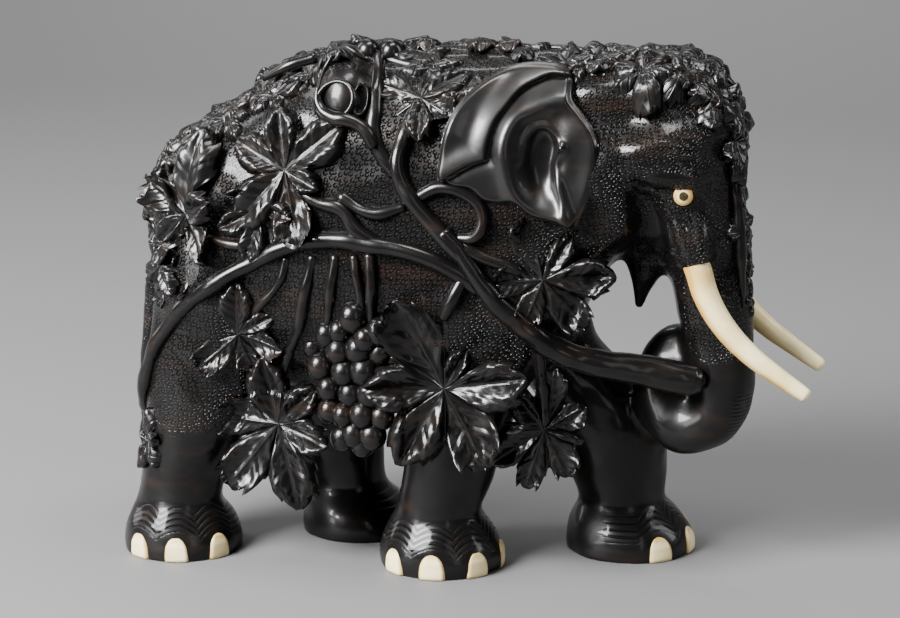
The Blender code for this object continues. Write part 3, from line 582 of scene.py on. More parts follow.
FREE_VINES = {
    "grasped": [((-6, -47, 151), 3.6), ((2, -46.5, 142), 3.8), ((9, -46, 131), 4.2), ((17, -43, 121), 4.6),
                ((28, -38, 109), 5.0), ((42, -31, 99), 5.4), ((57, -26, 94), 5.9), ((75, -20, 90.5), 6.6),
                ((88, -16.5, 87.5), 6.9), ((93.5, -15, 86.5), 6.5), ((96.5, -14.5, 86.2), 5.0),
                ((98.0, -14.3, 86.1), 3.0), ((98.6, -14.2, 86.0), 0.8)],
    "stub_lip": [((-61, -37, 207), 1.2), ((-60, -40, 200), 1.9), ((-54, -42.3, 195.5), 2.7),
                 ((-46, -43, 194.5), 2.9), ((-40, -43.5, 191.5), 2.9), ((-35, -44.5, 184), 2.4)],
    "face_strip": [((107, -10, 184), 0.8), ((107.6, -10, 172), 2.0), ((109.2, -10, 157), 2.2),
                   ((110.6, -10, 142), 2.2), ((111.6, -9.5, 128), 1.8), ((112.2, -9, 117), 0.6)],
    "free_stem": [((30, -36, 107), 3.0), ((31.5, -33, 97), 2.6), ((33, -32, 84), 2.4),
                  ((34, -31, 68), 2.0)],
    "leaf_stem": [((-69, -40, 106), 2.4), ((-76, -36, 90), 2.4), ((-80, -34, 74), 2.2),
                  ((-81, -33, 62), 2.0)],
    "tail_twig": [((-146, -13, 60), 2.4), ((-149, -12.5, 47), 2.2), ((-147, -12.5, 34), 2.0)],
    "berry_stem": [((-50, -2, 218), 3.2), ((-42, -9, 215.5), 3.0), ((-32, -14, 214), 2.8),
                   ((-20, -16, 212.5), 2.4)],
}
FACE_VINE = [(66, 0, 218), (86, 0, 217.5), (99, 0, 207), (106, 0, 190), (108, 0, 168), (110.5, 0, 145),
             (112, 0, 124)]


def vine_forms():
    forms = []
    for side, table in ((-1, VINES), (1, LEFT_VINES)):
        for name, start, end, lift, spots in table:
            route = []
            for place, (x, z) in enumerate(spots):
                radius = start + (end - start) * place / (len(spots) - 1)
                sunk = 1.8 if place in (0, len(spots) - 1) else 0.0
                out = Skin.side_at(side, x, z) + lift - 0.4 * radius - sunk
                route.append(((x, side * out, z), radius))
            forms.append(tube(name, route, 5, 8))
    forms += [tube(name, route, 6, 8) for name, route in FREE_VINES.items()]
    face = [(spot, 3.0 - 0.25 * place) for place, spot in enumerate(FACE_VINE)]
    forms.append(tube("face", face, 5, 8))
    return forms


# Leaves: name, middle, way that it faces, how far it follows the skin (0 to 1), lobes as angle and length.
# Angles are in degrees from forward (+X) towards up, seen from the side that the leaf faces.
LEAVES = [
    ("rump", (-123, -43, 151), (-0.55, -0.82, 0.05), 0.5,
     [(83, 37), (150, 24), (222, 22), (268, 37), (20, 22), (305, 24)]),
    ("rump_back", (-134, -33, 140), (-0.80, -0.55, 0.05), 0.5,
     [(90, 28), (150, 20), (215, 20), (265, 27), (25, 16)]),
    ("haunch", (-74, -50, 174), (-0.05, -0.97, 0.25), 0.5,
     [(40, 33), (98, 27), (152, 27), (228, 34), (284, 33), (335, 18)]),
    ("chest", (36, -46, 132), (0.25, -0.95, 0.05), 0.4,
     [(3, 30), (58, 22), (104, 28), (185, 21), (250, 21), (312, 28)]),
    ("thigh", (-96, -48, 101), (-0.05, -1.0, 0.0), 0.5,
     [(88, 24), (30, 19), (345, 21), (165, 17), (222, 23), (285, 17)]),
    ("hanging", (-80, -39, 62), (0.0, -1.0, 0.05), 0.15,
     [(102, 30), (45, 25), (178, 28), (232, 37), (286, 38), (345, 25)]),
    ("great", (-6, -47, 84), (0.05, -1.0, 0.05), 0.25,
     [(118, 43), (182, 34), (240, 39), (300, 38), (12, 37), (62, 20)]),
    ("front_hanging", (34, -34, 66), (0.15, -0.99, 0.0), 0.0,
     [(80, 27), (128, 21), (214, 27), (254, 28), (295, 24), (30, 20)]),
    ("shoulder", (-18, -35, 204), (0.0, -0.80, 0.60), 0.9,
     [(160, 22), (100, 20), (40, 24), (215, 23), (275, 20), (330, 18)]),
    ("rump_top", (-86, -24, 203), (-0.20, -0.55, 0.82), 0.8,
     [(172, 17), (120, 12), (60, 12), (5, 15), (235, 12), (300, 13)]),
    ("rump_side", (-106, -24, 192), (-0.40, -0.60, 0.70), 0.8,
     [(172, 15), (110, 13), (45, 15), (350, 12), (240, 14), (300, 16)]),
    ("rump_low", (-124, -20, 180), (-0.70, -0.45, 0.55), 0.8,
     [(90, 13), (35, 13), (150, 12), (225, 13), (300, 14)]),
    ("haunch_back", (-84, -49, 156), (-0.05, -1.0, 0.05), 0.7,
     [(255, 24), (205, 20), (305, 20), (160, 15), (350, 15)]),
    ("heel", (-137, -36, 50), (-0.6, -0.8, 0.0), 0.6, [(90, 15), (25, 9), (155, 9), (245, 14), (300, 12)]),
    ("rump_under", (-132, -36, 128), (-0.75, -0.65, 0.0), 0.6,
     [(265, 20), (210, 17), (320, 17), (150, 13), (30, 13)]),
    ("left_rump", (-118, 40, 152), (-0.60, 0.80, 0.05), 0.5,
     [(90, 30), (20, 22), (160, 22), (235, 26), (305, 26)]),
    ("left_flank", (-66, 49, 166), (0.0, 0.98, 0.18), 0.5,
     [(90, 29), (20, 25), (160, 25), (235, 27), (305, 27)]),
    ("left_belly", (-34, 45, 98), (0.0, 1.0, -0.1), 0.4,
     [(90, 27), (20, 26), (160, 26), (235, 29), (305, 29)]),
    ("left_shoulder", (-8, 46, 178), (0.0, 0.92, 0.38), 0.5,
     [(90, 23), (20, 21), (160, 21), (235, 23), (305, 22)]),
    ("left_chest", (30, 42, 126), (0.2, 0.97, 0.0), 0.4,
     [(90, 24), (20, 22), (160, 22), (235, 24), (305, 24)]),
    ("left_top", (-70, 20, 209), (-0.1, 0.5, 0.86), 0.7,
     [(90, 17), (20, 16), (160, 16), (235, 16), (305, 16)]),
    ("brow", (105, 0, 196), (0.93, 0.0, 0.36), 0.8,
     [(270, 19), (215, 15), (325, 15), (160, 13), (20, 13), (90, 12)]),
    ("front_top", (97, -14, 205), (0.75, -0.45, 0.5), 0.8,
     [(270, 18), (215, 14), (330, 13), (150, 13), (30, 12), (90, 12)]),
    ("front_side", (106, -9, 186), (0.93, -0.35, 0.1), 0.8, [(270, 18), (200, 12), (340, 12), (90, 14)]),
    ("trunk_leaf", (108, 0, 166), (0.99, 0.0, 0.05), 0.8,
     [(270, 18), (215, 12), (325, 12), (150, 11), (30, 11)]),
    ("trunk_leaf_low", (111, 0, 144), (0.99, 0.0, 0.05), 0.8,
     [(270, 14), (215, 8), (325, 8), (150, 8), (30, 8)]),
    ("crown_leaf", (71, -19, 214), (0.05, -0.60, 0.80), 0.85,
     [(285, 20), (222, 15), (342, 14), (160, 15), (45, 13), (100, 12)]),
]
LOBE_WIDEST = 82.0
NOTCH = 0.50
TEETH = 2.4
TOOTH_DEPTH = 0.09
LEAF_RIM = 2.0
# How far the skin is looked for under a leaf's middle and rim, how far a lobe falls past the skin's edge,
# and how far it may sink or rise with the skin
ROOT_REACH = 14.0
RIM_REACH = 18.0
FREE_FALL = 8.0
DEEPEST_FALL = 12.0
HIGHEST_RISE = 9.0
# Mean lobe length under which a leaf counts as small
SMALL = 15.0
# Height of a leaf's middle over the skin, and its relief, as shares of the mean lobe length
SMALL_LIFT = 0.09
LEAF_LIFT = 0.12
CENTRE_DIP = 0.05
SMALL_DOME = 0.16
CUP_DEPTH = 0.10
CUP_RISE = 0.17
CREST = 0.14
VALLEY = 0.16
LOBE_TILT = 0.25
RIM_DROP = 0.08
MIDRIB = 0.02
MIDRIB_HALF = 0.04
ROOT = 0.30
# Side veins and the facets between them, as shares of their lobe's length, and the veins' slope to the tip
VEIN_SPACING = 0.30
VEIN_SLOPE = 0.8
FACET = 0.036
# Height that no leaf stands above
HIGHEST = 224.3
# Share of a leaf's rings that lie on its face
FACE_SHARE = 0.75
# Small leaves: how far they follow the skin, how they lean, the turn of their lobes, steps round and across
SPRAY_FOLLOW = 0.85
SPRAY_LEAN = 0.22
SPRAY_TURN = 14
SPRAY_STEPS = (80, 16)
# Sprays of small leaves: name, how many, first and last aim, spread, way that they are laid, lobe lengths
SPRAYS = [
    ("back", 30, (-80, 0, 215), (100, 0, 219), 19.0, (0, 0, -1), 10.0, 14.5),
    ("rump", 12, (-143, -5, 190), (-84, -7, 200), 12.0, (0, 0, -1), 11.0, 15.0),
    ("rump_end", 6, (-144, -12, 176), (-144, -16, 118), 9.0, (1, 0, 0), 10.0, 14.0),
    ("forehead", 8, (100, 0, 209), (100, 0, 148), 7.0, (-1, 0, 0), 8.0, 12.0),
    ("trunk", 4, (100, 0, 146), (100, 0, 116), 2.0, (-1, 0, 0), 5.0, 7.0),
    ("temple", 3, (84, -17, 214), (98, -12, 209), 3.0, (0, 0.6, -0.8), 10.0, 14.0),
    ("left_temple", 4, (62, 24, 214), (95, 15, 209), 3.0, (0, -0.6, -0.8), 10.0, 14.0),
    ("behind_ear", 5, (-4, -34, 205), (22, -30, 212), 5.0, (0, 0.75, -0.66), 9.0, 12.5),
]
# Hollows in the broken branch: middle, way that it faces, half width, half height, depth
KNOTS = [
    ((-53.0, -40.2, 202.0), (-0.08, -0.90, 0.40), 9.6, 10.4, 5.5),
    ((-42.6, -38.2, 202.5), (0.25, -0.90, 0.35), 3.6, 8.4, 3.0),
]


def leaf_rim(turn, lobes):
    """Distance from the leaf's middle to its toothed rim, and the lobe that a direction belongs to."""
    best = None
    for place, (angle, length) in enumerate(lobes):
        ahead = (lobes[(place + 1) % len(lobes)][0] - angle) % 360.0
        behind = (angle - lobes[place - 1][0]) % 360.0
        off = turn_between(turn, angle)
        gap = min(LOBE_WIDEST, ahead if off > 0.0 else behind)
        part = min(1.0, abs(off) / (0.5 * gap + 1.0))
        notch = NOTCH + 0.26 * (1.0 - gap / LOBE_WIDEST)
        reach = length * (1.0 - (1.0 - notch) * part ** 2.3)
        if best is None or (part, -reach) < (best[3], -best[0]):
            best = (reach, place, off, part)
    reach, place, off, part = best
    tooth = (part * TEETH) % 1.0
    depth = TOOTH_DEPTH if lobes[place][1] > SMALL else 0.0
    return reach * (1.0 - depth * tooth ** 1.5), place, off, part


def leaf(name, middle, facing, follow, lobes, sides=160, rounds=36):
    """Vine leaf with domed and cupped lobes and a toothed rim, rooted in the wood under its middle."""
    dice = random.Random(name)
    lobes = sorted((angle % 360.0, length) for angle, length in lobes)
    size = sum(length for _, length in lobes) / len(lobes)
    small = size < SMALL
    face_way = Vector(facing).normalized()
    across, up = across_and_up(face_way)
    middle = Vector(middle)
    lift = 0.0
    if follow > 0.3:
        drop = Skin.below(middle, face_way, ROOT_REACH)
        if drop is not None:
            middle = middle + face_way * drop
            lift = (SMALL_LIFT if small else LEAF_LIFT) * size
    tilts = [dice.uniform(-0.9, 0.9) for _ in lobes]
    cupped = [dice.random() < 0.55 for _ in lobes]
    rims = [leaf_rim(360.0 * step / sides, lobes) for step in range(sides)]
    bm = bmesh.new()
    bmesh.ops.create_uvsphere(bm, u_segments=sides, v_segments=rounds, radius=1.0)
    falls = {}
    beside_rib = []
    vein_count = []
    for vert in bm.verts:
        share = math.acos(max(-1.0, min(1.0, vert.co.z))) / math.pi
        face = share < FACE_SHARE + 0.001
        turn = math.degrees(math.atan2(vert.co.y, vert.co.x)) % 360.0
        step = int(round(turn * sides / 360.0)) % sides
        reach, place, off, part = rims[step]
        out = min(1.0, share / FACE_SHARE) if face else (1.0 - share) / (1.0 - FACE_SHARE)
        spread = reach * out ** 0.9
        way = across * math.cos(math.radians(turn)) + up * math.sin(math.radians(turn))
        flat = middle + way * spread
        key = (step, round(out, 3))
        if key not in falls:
            skin = Skin.below(flat, face_way, RIM_REACH) if follow > 0.0 else None
            if skin is None:
                falls[key] = -follow * FREE_FALL * out * out
            else:
                falls[key] = follow * max(-DEEPEST_FALL, min(HIGHEST_RISE, skin))
        along = spread * math.cos(math.radians(off))
        beside = abs(spread * math.sin(math.radians(off)))
        length = lobes[place][1]
        vein = (along - VEIN_SLOPE * beside) / (VEIN_SPACING * length)
        facet = min(vein % 1.0, 4.0 - 4.0 * (vein % 1.0))
        lobe_half = length * (0.36 * math.sin(math.pi * max(0.0, min(1.0, along / length)) ** 0.8) + 0.05)
        beside_share = min(1.3, beside / lobe_half)
        relief = -CENTRE_DIP * size * (1.0 - out) ** 2
        onset = min(1.0, out * 2.0)
        if small:
            relief += SMALL_DOME * size * (1.0 - beside_share ** 2) * onset
        elif cupped[place]:
            relief += size * (CUP_RISE * beside_share ** 2 - CUP_DEPTH) * onset
            rib = math.exp(-((beside / (MIDRIB_HALF * size)) ** 2))
            relief += MIDRIB * size * rib * min(1.0, out * 4.0)
        else:
            relief += CREST * size * math.sin(math.pi * min(1.0, 0.85 * beside_share)) * onset
        relief -= VALLEY * size * part ** 6 * min(1.0, out * 1.5)
        relief += tilts[place] * LOBE_TILT * size * out * out
        relief -= RIM_DROP * size * (max(0.0, out - 0.8) / 0.2) ** 2
        if not small:
            fade = min(1.0, beside / (0.07 * length)) * min(1.0, (1.0 - out) * 5.0 + 0.5)
            relief += FACET * length * (facet - 0.4) * fade
        height = falls[key] + relief + lift
        thick = (1.5 * LEAF_RIM if small else LEAF_RIM) + ROOT * size * (1.0 - out) ** 1.5
        if face:
            vert.co = flat + face_way * height
        else:
            vert.co = middle + way * (spread * 0.98) + face_way * (height - thick)
        vert.co.z = min(vert.co.z, HIGHEST)
        beside_rib.append(beside / (0.022 * size))
        vein_count.append(vein)
    thing = new_object("leaf_" + name, bm)
    add_value(thing.data, "beside_rib", beside_rib)
    add_value(thing.data, "vein_count", vein_count)
    return thing


def small_leaves():
    """Small leaves crowded along the back, the crown, the rump and the forehead, each a little different."""
    dice = random.Random(11)
    made = []
    for name, count, start, end, spread, way, smallest, largest in SPRAYS:
        way = Vector(way)
        start = Vector(start)
        run = Vector(end) - start
        sideways = run.cross(way).normalized()
        for number in range(count):
            along = run * ((number + dice.uniform(0.2, 0.8)) / count)
            aim = start + along + sideways * dice.uniform(-spread, spread)
            hit, normal, _, _ = Skin.tree.ray_cast(aim - way * 120.0, way, 240.0)
            if hit is None:
                continue
            first = dice.uniform(0.0, 90.0)
            lobes = [(first + 90.0 * k + dice.uniform(-SPRAY_TURN, SPRAY_TURN),
                      dice.uniform(smallest, largest)) for k in range(4)]
            lean = Vector([dice.uniform(-SPRAY_LEAN, SPRAY_LEAN) for _ in range(3)])
            label = "%s_%02d" % (name, number)
            made.append(leaf(label, hit, normal + lean, SPRAY_FOLLOW, lobes, *SPRAY_STEPS))
    return made


def knot_forms():
    """Smooth oval hollows in the broken branch, each with a raised rim."""
    forms = []
    for middle, facing, half_width, half_height, depth in KNOTS:
        face_way = Vector(facing).normalized()
        across, up = across_and_up(face_way)
        bm = bmesh.new()
        bmesh.ops.create_uvsphere(bm, u_segments=64, v_segments=40, radius=1.0)
        for vert in bm.verts:
            around = math.hypot(vert.co.x, vert.co.y)
            out = math.acos(max(-1.0, min(1.0, abs(vert.co.z)))) / (0.5 * math.pi)
            level = -depth * max(0.0, 1.0 - (out / 0.72) ** 3)
            level += 0.8 * math.exp(-(((out - 0.78) / 0.12) ** 2))
            level -= 5.0 * max(0.0, (out - 0.86) / 0.14) ** 2
            if vert.co.z < -1e-6:
                level = -depth - 3.0 - 4.0 * out
            turn = math.atan2(vert.co.y, vert.co.x) if around > 1e-6 else 0.0
            reach = out * (1.0 + 0.05 * math.sin(2.0 * turn + 0.6))
            flat = across * (math.cos(turn) * reach * half_width)
            flat += up * (math.sin(turn) * reach * half_height)
            vert.co = Vector(middle) + flat + face_way * level
        forms.append(new_object("knot", bm))
    return forms


# Grapes as length, height and lift off the skin or the bunch's core
GRAPES = [
    (-45, 112, 4, 5.6), (-34, 108, 5, 5.6), (-57, 103, 3, 5.4), (-51, 97, 6, 5.2), (-42, 99, 8, 5.2),
    (-33, 97, 6, 5.2), (-27, 95, 3, 5.0), (-60, 88, 3, 5.2), (-50, 88, 7, 5.2), (-41, 89, 8, 5.4),
    (-33, 87, 5, 5.0), (-56, 80, 4, 5.0), (-47, 79, 7, 5.4), (-38, 80, 7, 5.2), (-31, 78, 4, 4.8),
    (-57, 71, 3, 4.8), (-50, 70, 6, 5.2), (-42, 71, 8, 5.2), (-34, 70, 5, 5.2), (-46, 62, 5, 5.0),
    (-38, 62, 5, 5.2), (-51, 58, 3, 4.8), (-43, 56, 4, 4.8), (-64, 97, 0, 4.8), (-52, 106, 3, 5.2),
    (-39, 104, 6, 5.2), (-29, 103, 3, 5.0),
]
BUNCH_SIDE = 36.0
# How the grapes differ: standing out, straying sideways, and swelling
GRAPE_STANDS = (-1.0, 1.4)
GRAPE_STRAY = 0.9
GRAPE_SWELL = (0.98, 1.17)
BERRIES = [((-47, -10, 217.6), 5.3), ((-37, -10, 217.6), 5.3)]


def grape(middle, radius, steps=20):
    """Grape: a ball, a little long, with a small dimple at its blossom end."""
    bm = bmesh.new()
    bmesh.ops.create_uvsphere(bm, u_segments=steps, v_segments=steps - 6, radius=1.0)
    for vert in bm.verts:
        dimple = 0.12 * math.exp(-(math.hypot(vert.co.x, vert.co.z + 0.35) / 0.16) ** 2)
        if vert.co.y >= 0:
            dimple = 0.0
        shaped = Vector((vert.co.x, vert.co.y * (1.0 - dimple), vert.co.z * 1.08))
        vert.co = Vector(middle) + shaped * radius
    return new_object("grape", bm)


def grape_forms():
    forms = []
    dice = random.Random(5)
    for x, z, lift, radius in GRAPES:
        out = max(Skin.side_at(-1, x, z, BUNCH_SIDE) - 4.0, BUNCH_SIDE) + lift + dice.uniform(*GRAPE_STANDS)
        along = x + dice.uniform(-GRAPE_STRAY, GRAPE_STRAY)
        height = z + dice.uniform(-GRAPE_STRAY, GRAPE_STRAY)
        forms.append(grape((along, -out, height), radius * dice.uniform(*GRAPE_SWELL)))
    forms += [grape(spot, radius, 24) for spot, radius in BERRIES]
    rings = [(112, -46, 6, 5), (106, -46, 13, 8), (92, -45, 15, 9), (76, -45, 13, 8), (64, -44, 11, 7),
             (57, -44, 6, 4)]
    core = [((x, -BUNCH_SIDE + 2.0, z), long, wide, (1, 0, 0), (0, 1, 0)) for z, x, long, wide in rings]
    forms.append(loft("core", core, 32))
    return forms


# Ear outline as length and height, from the top of its front edge backwards, down and forwards again
EAR_OUTLINE = [
    (36, 218), (28, 218.5), (19, 217.5), (9.5, 213), (0.6, 205), (-4.6, 194.7), (-7.7, 178), (-7.3, 173.4),
    (-6.4, 171.7), (-1.9, 169.5), (5.0, 168.3), (10.2, 163.8), (16.6, 162.8), (23.0, 163), (29.7, 158.1),
    (37.8, 156.2), (41.5, 155.0), (45.5, 152.5), (49.6, 158.8), (53.1, 168.6), (56.2, 184.1), (53.8, 192.8),
    (48.8, 199.3), (44.2, 205.0), (43.0, 211), (41, 216),
]
EAR_INNER = [(43.0, 213.3), (35.5, 214.1), (29.7, 212.1), (23.9, 208.6), (18.7, 201.9), (15.2, 196.3),
             (12.9, 187.8), (12.2, 181.6)]
EAR_FOLD = [(12.2, 181.6), (3.5, 178.2), (-6.4, 171.7)]
EAR_RIM = [(41.5, 206.0), (37.1, 205.1), (29.7, 201.7), (23.0, 197.6), (19.7, 188.3), (21.0, 177.8),
           (23.9, 168.4), (29.7, 161.5), (35.5, 158.9), (40.5, 157.5)]
EAR_CONCH = [(26.2, 180.3), (27.2, 189.5), (31.3, 194.4), (36.7, 193.0), (40.9, 186.2)]
EAR_RIDGE = [(40.9, 186.2), (38.8, 178.8), (40.1, 171.6), (42.1, 165.7), (44.6, 155.3)]
EAR_MIDDLE = (26.0, 187.0)
EAR_FRONT = (56, 37.5)
EAR_BACK = (-8, 48.0)
EAR_CURL_FROM = 180.0
EAR_CURL = 0.013
EAR_LIFT = 1.2
# The ear's carving as heights and half widths: flap, the dip in it and the groove along it, rim and ridges
EAR_FLAP = 3.0
EAR_FLAP_STEP = 0.9
EAR_FLAP_DIP_AT = 9.0
EAR_FLAP_DIP = (1.7, 5.0)
EAR_FLAP_GROOVE = (1.0, 3.0)
EAR_RIM_RISE = (3.2, 4.6)
EAR_CONCH_RISE = (1.4, 1.8)
EAR_RIDGE_RISE = (2.0, 2.0)
EAR_EDGE_DROP = (2.2, 1.1)
# Ovals pressed into the ear: middle, half sizes and depth
EAR_BOWL = ((33.5, 181.0), (12.5, 22.0))
EAR_BOWL_DEPTH = 2.4
EAR_HOLLOW = (33.5, 180.5)
EAR_HOLLOW_HALVES = (7.6, 14.0)
EAR_HOLLOW_LEAN = 0.10
EAR_HOLLOW_DEPTH = 4.4
EAR_FRONT_PATCH = ((48.0, 178.0), (5.0, 13.0))
EAR_FRONT_DEPTH = 1.6


def smooth_path(points, steps=6):
    """Points of a smooth curve through these."""
    ends = [np.array(point, float) for point in [points[0]] + list(points) + [points[-1]]]
    made = []
    for before, start, end, after in zip(ends, ends[1:], ends[2:], ends[3:]):
        for step in range(steps):
            part = step / steps
            bend = (end - before) * part + (2 * before - 5 * start + 4 * end - after) * part ** 2
            third = 3 * start - before - 3 * end + after
            made.append(tuple(0.5 * (2 * start + bend + third * part ** 3)))
    return made + [tuple(ends[-1])]


def inside_outline(spots, outline):
    """True for the points inside a closed outline."""
    inside = np.zeros(len(spots), bool)
    for (ax, az), (bx, bz) in zip(outline, outline[1:] + outline[:1]):
        crosses = (az > spots[:, 1]) != (bz > spots[:, 1])
        slope = (bx - ax) * (spots[:, 1] - az) / (bz - az if bz != az else 1e-9) + ax
        inside ^= crosses & (spots[:, 0] < slope)
    return inside


def ear_relief(spots):
    """Height of the carved ear over its sheet, in millimetres, at points given as length and height."""
    inner = smooth_path(EAR_INNER)
    fold = smooth_path(EAR_FOLD)
    flap = inside_outline(spots, inner + fold[1:] + [(-16, 171), (-16, 206), (-2, 230), (44, 230)])
    to_edge = distance_to_path(spots, smooth_path(EAR_OUTLINE + EAR_OUTLINE[:1]))
    to_inner = distance_to_path(spots, inner + fold[1:])
    x, z = spots.T
    relief = np.where(flap, EAR_FLAP * rising(to_inner, 0.0, EAR_FLAP_STEP) ** 0.5, 0.0)
    relief -= np.where(flap, ridge(to_inner - EAR_FLAP_DIP_AT, *EAR_FLAP_DIP), 0.0)
    relief += np.where(flap, 0.0, ridge(distance_to_path(spots, smooth_path(EAR_RIM)), *EAR_RIM_RISE))
    relief -= np.where(flap, 0.0, EAR_BOWL_DEPTH * np.exp(-(oval(x, z, *EAR_BOWL) ** 2)))
    relief -= np.where(flap, 0.0, ridge(to_inner, *EAR_FLAP_GROOVE))
    off = spots - np.array(EAR_HOLLOW)
    off[:, 0] -= EAR_HOLLOW_LEAN * off[:, 1]
    hollow = np.sqrt(oval(off[:, 0], off[:, 1], (0.0, 0.0), EAR_HOLLOW_HALVES))
    relief -= EAR_HOLLOW_DEPTH * np.exp(-(hollow ** 4))
    relief += ridge(distance_to_path(spots, smooth_path(EAR_CONCH)), *EAR_CONCH_RISE)
    relief += ridge(distance_to_path(spots, smooth_path(EAR_RIDGE)), *EAR_RIDGE_RISE)
    relief -= EAR_FRONT_DEPTH * patch(x, z, *EAR_FRONT_PATCH)
    relief -= ridge(to_edge, *EAR_EDGE_DROP)
    return relief + EAR_LIFT


def ear_side(x, z):
    part = (x - EAR_BACK[0]) / (EAR_FRONT[0] - EAR_BACK[0])
    sheet = EAR_BACK[1] + (EAR_FRONT[1] - EAR_BACK[1]) * part
    return sheet - EAR_CURL * np.maximum(0.0, z - EAR_CURL_FROM) ** 2


def ear(side, sides=220, rounds=110):
    """Ear with its turned-over flap, pointed fold, bowl and ridge, closed behind inside the neck."""
    bm = bmesh.new()
    bmesh.ops.create_uvsphere(bm, u_segments=sides, v_segments=rounds, radius=1.0)
    middle = np.array(EAR_MIDDLE)
    closed = np.array(smooth_path(EAR_OUTLINE + EAR_OUTLINE[:1])) - middle
    turns = np.unwrap(np.arctan2(closed[:, 1], closed[:, 0]))
    reaches = np.hypot(closed[:, 0], closed[:, 1])
    order = np.argsort(turns)
    spots = np.array([tuple(vert.co) for vert in bm.verts])
    around = np.arctan2(spots[:, 1], spots[:, 0])
    around = (around - min(turns)) % (2.0 * math.pi) + min(turns)
    reach = np.interp(around, turns[order], reaches[order])
    polar = np.arccos(np.clip(spots[:, 2], -1.0, 1.0)) / (0.5 * math.pi)
    front = spots[:, 2] >= -1e-6
    out = np.where(front, np.minimum(1.0, polar * 1.03), np.maximum(0.0, 2.0 - polar))
    place = middle + np.stack([np.cos(around), np.sin(around)], axis=1) * (reach * out ** 0.85)[:, None]
    sheet = ear_side(place[:, 0], place[:, 1])
    depth = np.where(front, -ear_relief(place), 4.0 + 12.0 * (1.0 - out))
    sheet = sheet - depth
    for vert, (x, z), y in zip(bm.verts, place, sheet):
        vert.co = (x, side * y, z)
    return new_object("ear", bm)


def tint_material(name):
    material = bpy.data.materials.new(name)
    material.use_nodes = True
    return material, material.node_tree, material.node_tree.nodes["Principled BSDF"]


def add_node(tree, kind, settings=(), inputs=()):
    node = tree.nodes.new(kind)
    for key, value in dict(settings).items():
        setattr(node, key, value)
    for key, value in dict(inputs).items():
        if isinstance(value, bpy.types.NodeSocket):
            tree.links.new(value, node.inputs[key])
        else:
            node.inputs[key].default_value = value
    return node


def maths(tree, operation, first, second=0.0, clamp=False):
    node = add_node(tree, "ShaderNodeMath", {"operation": operation, "use_clamp": clamp},
                    {0: first, 1: second})
    return node.outputs[0]


def noise_height(tree, place, scale, detail, roughness=0.5):
    figure = {"Vector": place, "Scale": scale, "Detail": detail, "Roughness": roughness}
    return add_node(tree, "ShaderNodeTexNoise", {}, figure).outputs["Fac"]


def share_between(tree, value, low, high, to_low=0.0, to_high=1.0):
    spans = {"Value": value, "From Min": low, "From Max": high, "To Min": to_low, "To Max": to_high}
    return add_node(tree, "ShaderNodeMapRange", {"clamp": True}, spans).outputs["Result"]


def attribute(tree, name):
    return add_node(tree, "ShaderNodeAttribute", {"attribute_name": name}).outputs["Fac"]


def bumped(tree, height, distance, before=None, strength=1.0):
    inputs = {"Strength": strength, "Distance": distance, "Height": height}
    if before is not None:
        inputs["Normal"] = before
    return add_node(tree, "ShaderNodeBump", {}, inputs).outputs["Normal"]


def object_place(tree, stretch=None):
    place = add_node(tree, "ShaderNodeTexCoord").outputs["Object"]
    if stretch is None:
        return place
    return add_node(tree, "ShaderNodeMapping", {}, {"Vector": place, "Scale": stretch}).outputs["Vector"]


def two_tones(tree, shader, amount, plain, stained):
    tint = add_node(tree, "ShaderNodeMix", {"data_type": "RGBA"}, {"Factor": amount})
    tint.inputs[6].default_value = plain + (1.0,)
    tint.inputs[7].default_value = stained + (1.0,)
    tree.links.new(tint.outputs[2], shader.inputs["Base Color"])


# Punch mark, counted in spacings: radius and half width of its arc, and the way that it opens
ARC_RADIUS = 0.34
ARC_HALF = 0.15
ARC_OPENING = (-0.75, -0.55, 0.0)
ARC_SHARPNESS = 3.2
ARC_LENGTH = 0.95
ARC_DISORDER = 0.62


def punch_group():
    """Height of small crescent punch marks, from a layout counted in marks."""
    group = bpy.data.node_groups.new("Punch Marks", "ShaderNodeTree")
    group.interface.new_socket("Layout", in_out="INPUT", socket_type="NodeSocketVector")
    group.interface.new_socket("Height", in_out="OUTPUT", socket_type="NodeSocketFloat")
    entry = group.nodes.new("NodeGroupInput")
    leave = group.nodes.new("NodeGroupOutput")
    cells = add_node(group, "ShaderNodeTexVoronoi", {"voronoi_dimensions": "2D", "feature": "F1"},
                     {"Vector": entry.outputs["Layout"], "Scale": 1.0, "Randomness": ARC_DISORDER})
    step = add_node(group, "ShaderNodeVectorMath", {"operation": "SUBTRACT"},
                    {0: entry.outputs["Layout"], 1: cells.outputs["Position"]})
    lean = add_node(group, "ShaderNodeVectorMath", {"operation": "DOT_PRODUCT"},
                    {0: step.outputs["Vector"], 1: ARC_OPENING})
    open_side = maths(group, "MULTIPLY_ADD", lean.outputs["Value"], ARC_SHARPNESS)
    open_side.node.inputs[2].default_value = ARC_LENGTH
    open_side.node.use_clamp = True
    ring = maths(group, "ABSOLUTE", maths(group, "SUBTRACT", cells.outputs["Distance"], ARC_RADIUS))
    ring = maths(group, "SUBTRACT", 1.0, maths(group, "DIVIDE", ring, ARC_HALF), True)
    height = maths(group, "MULTIPLY", maths(group, "MULTIPLY", ring, open_side), -1.0)
    group.links.new(height, leave.inputs["Height"])
    return group


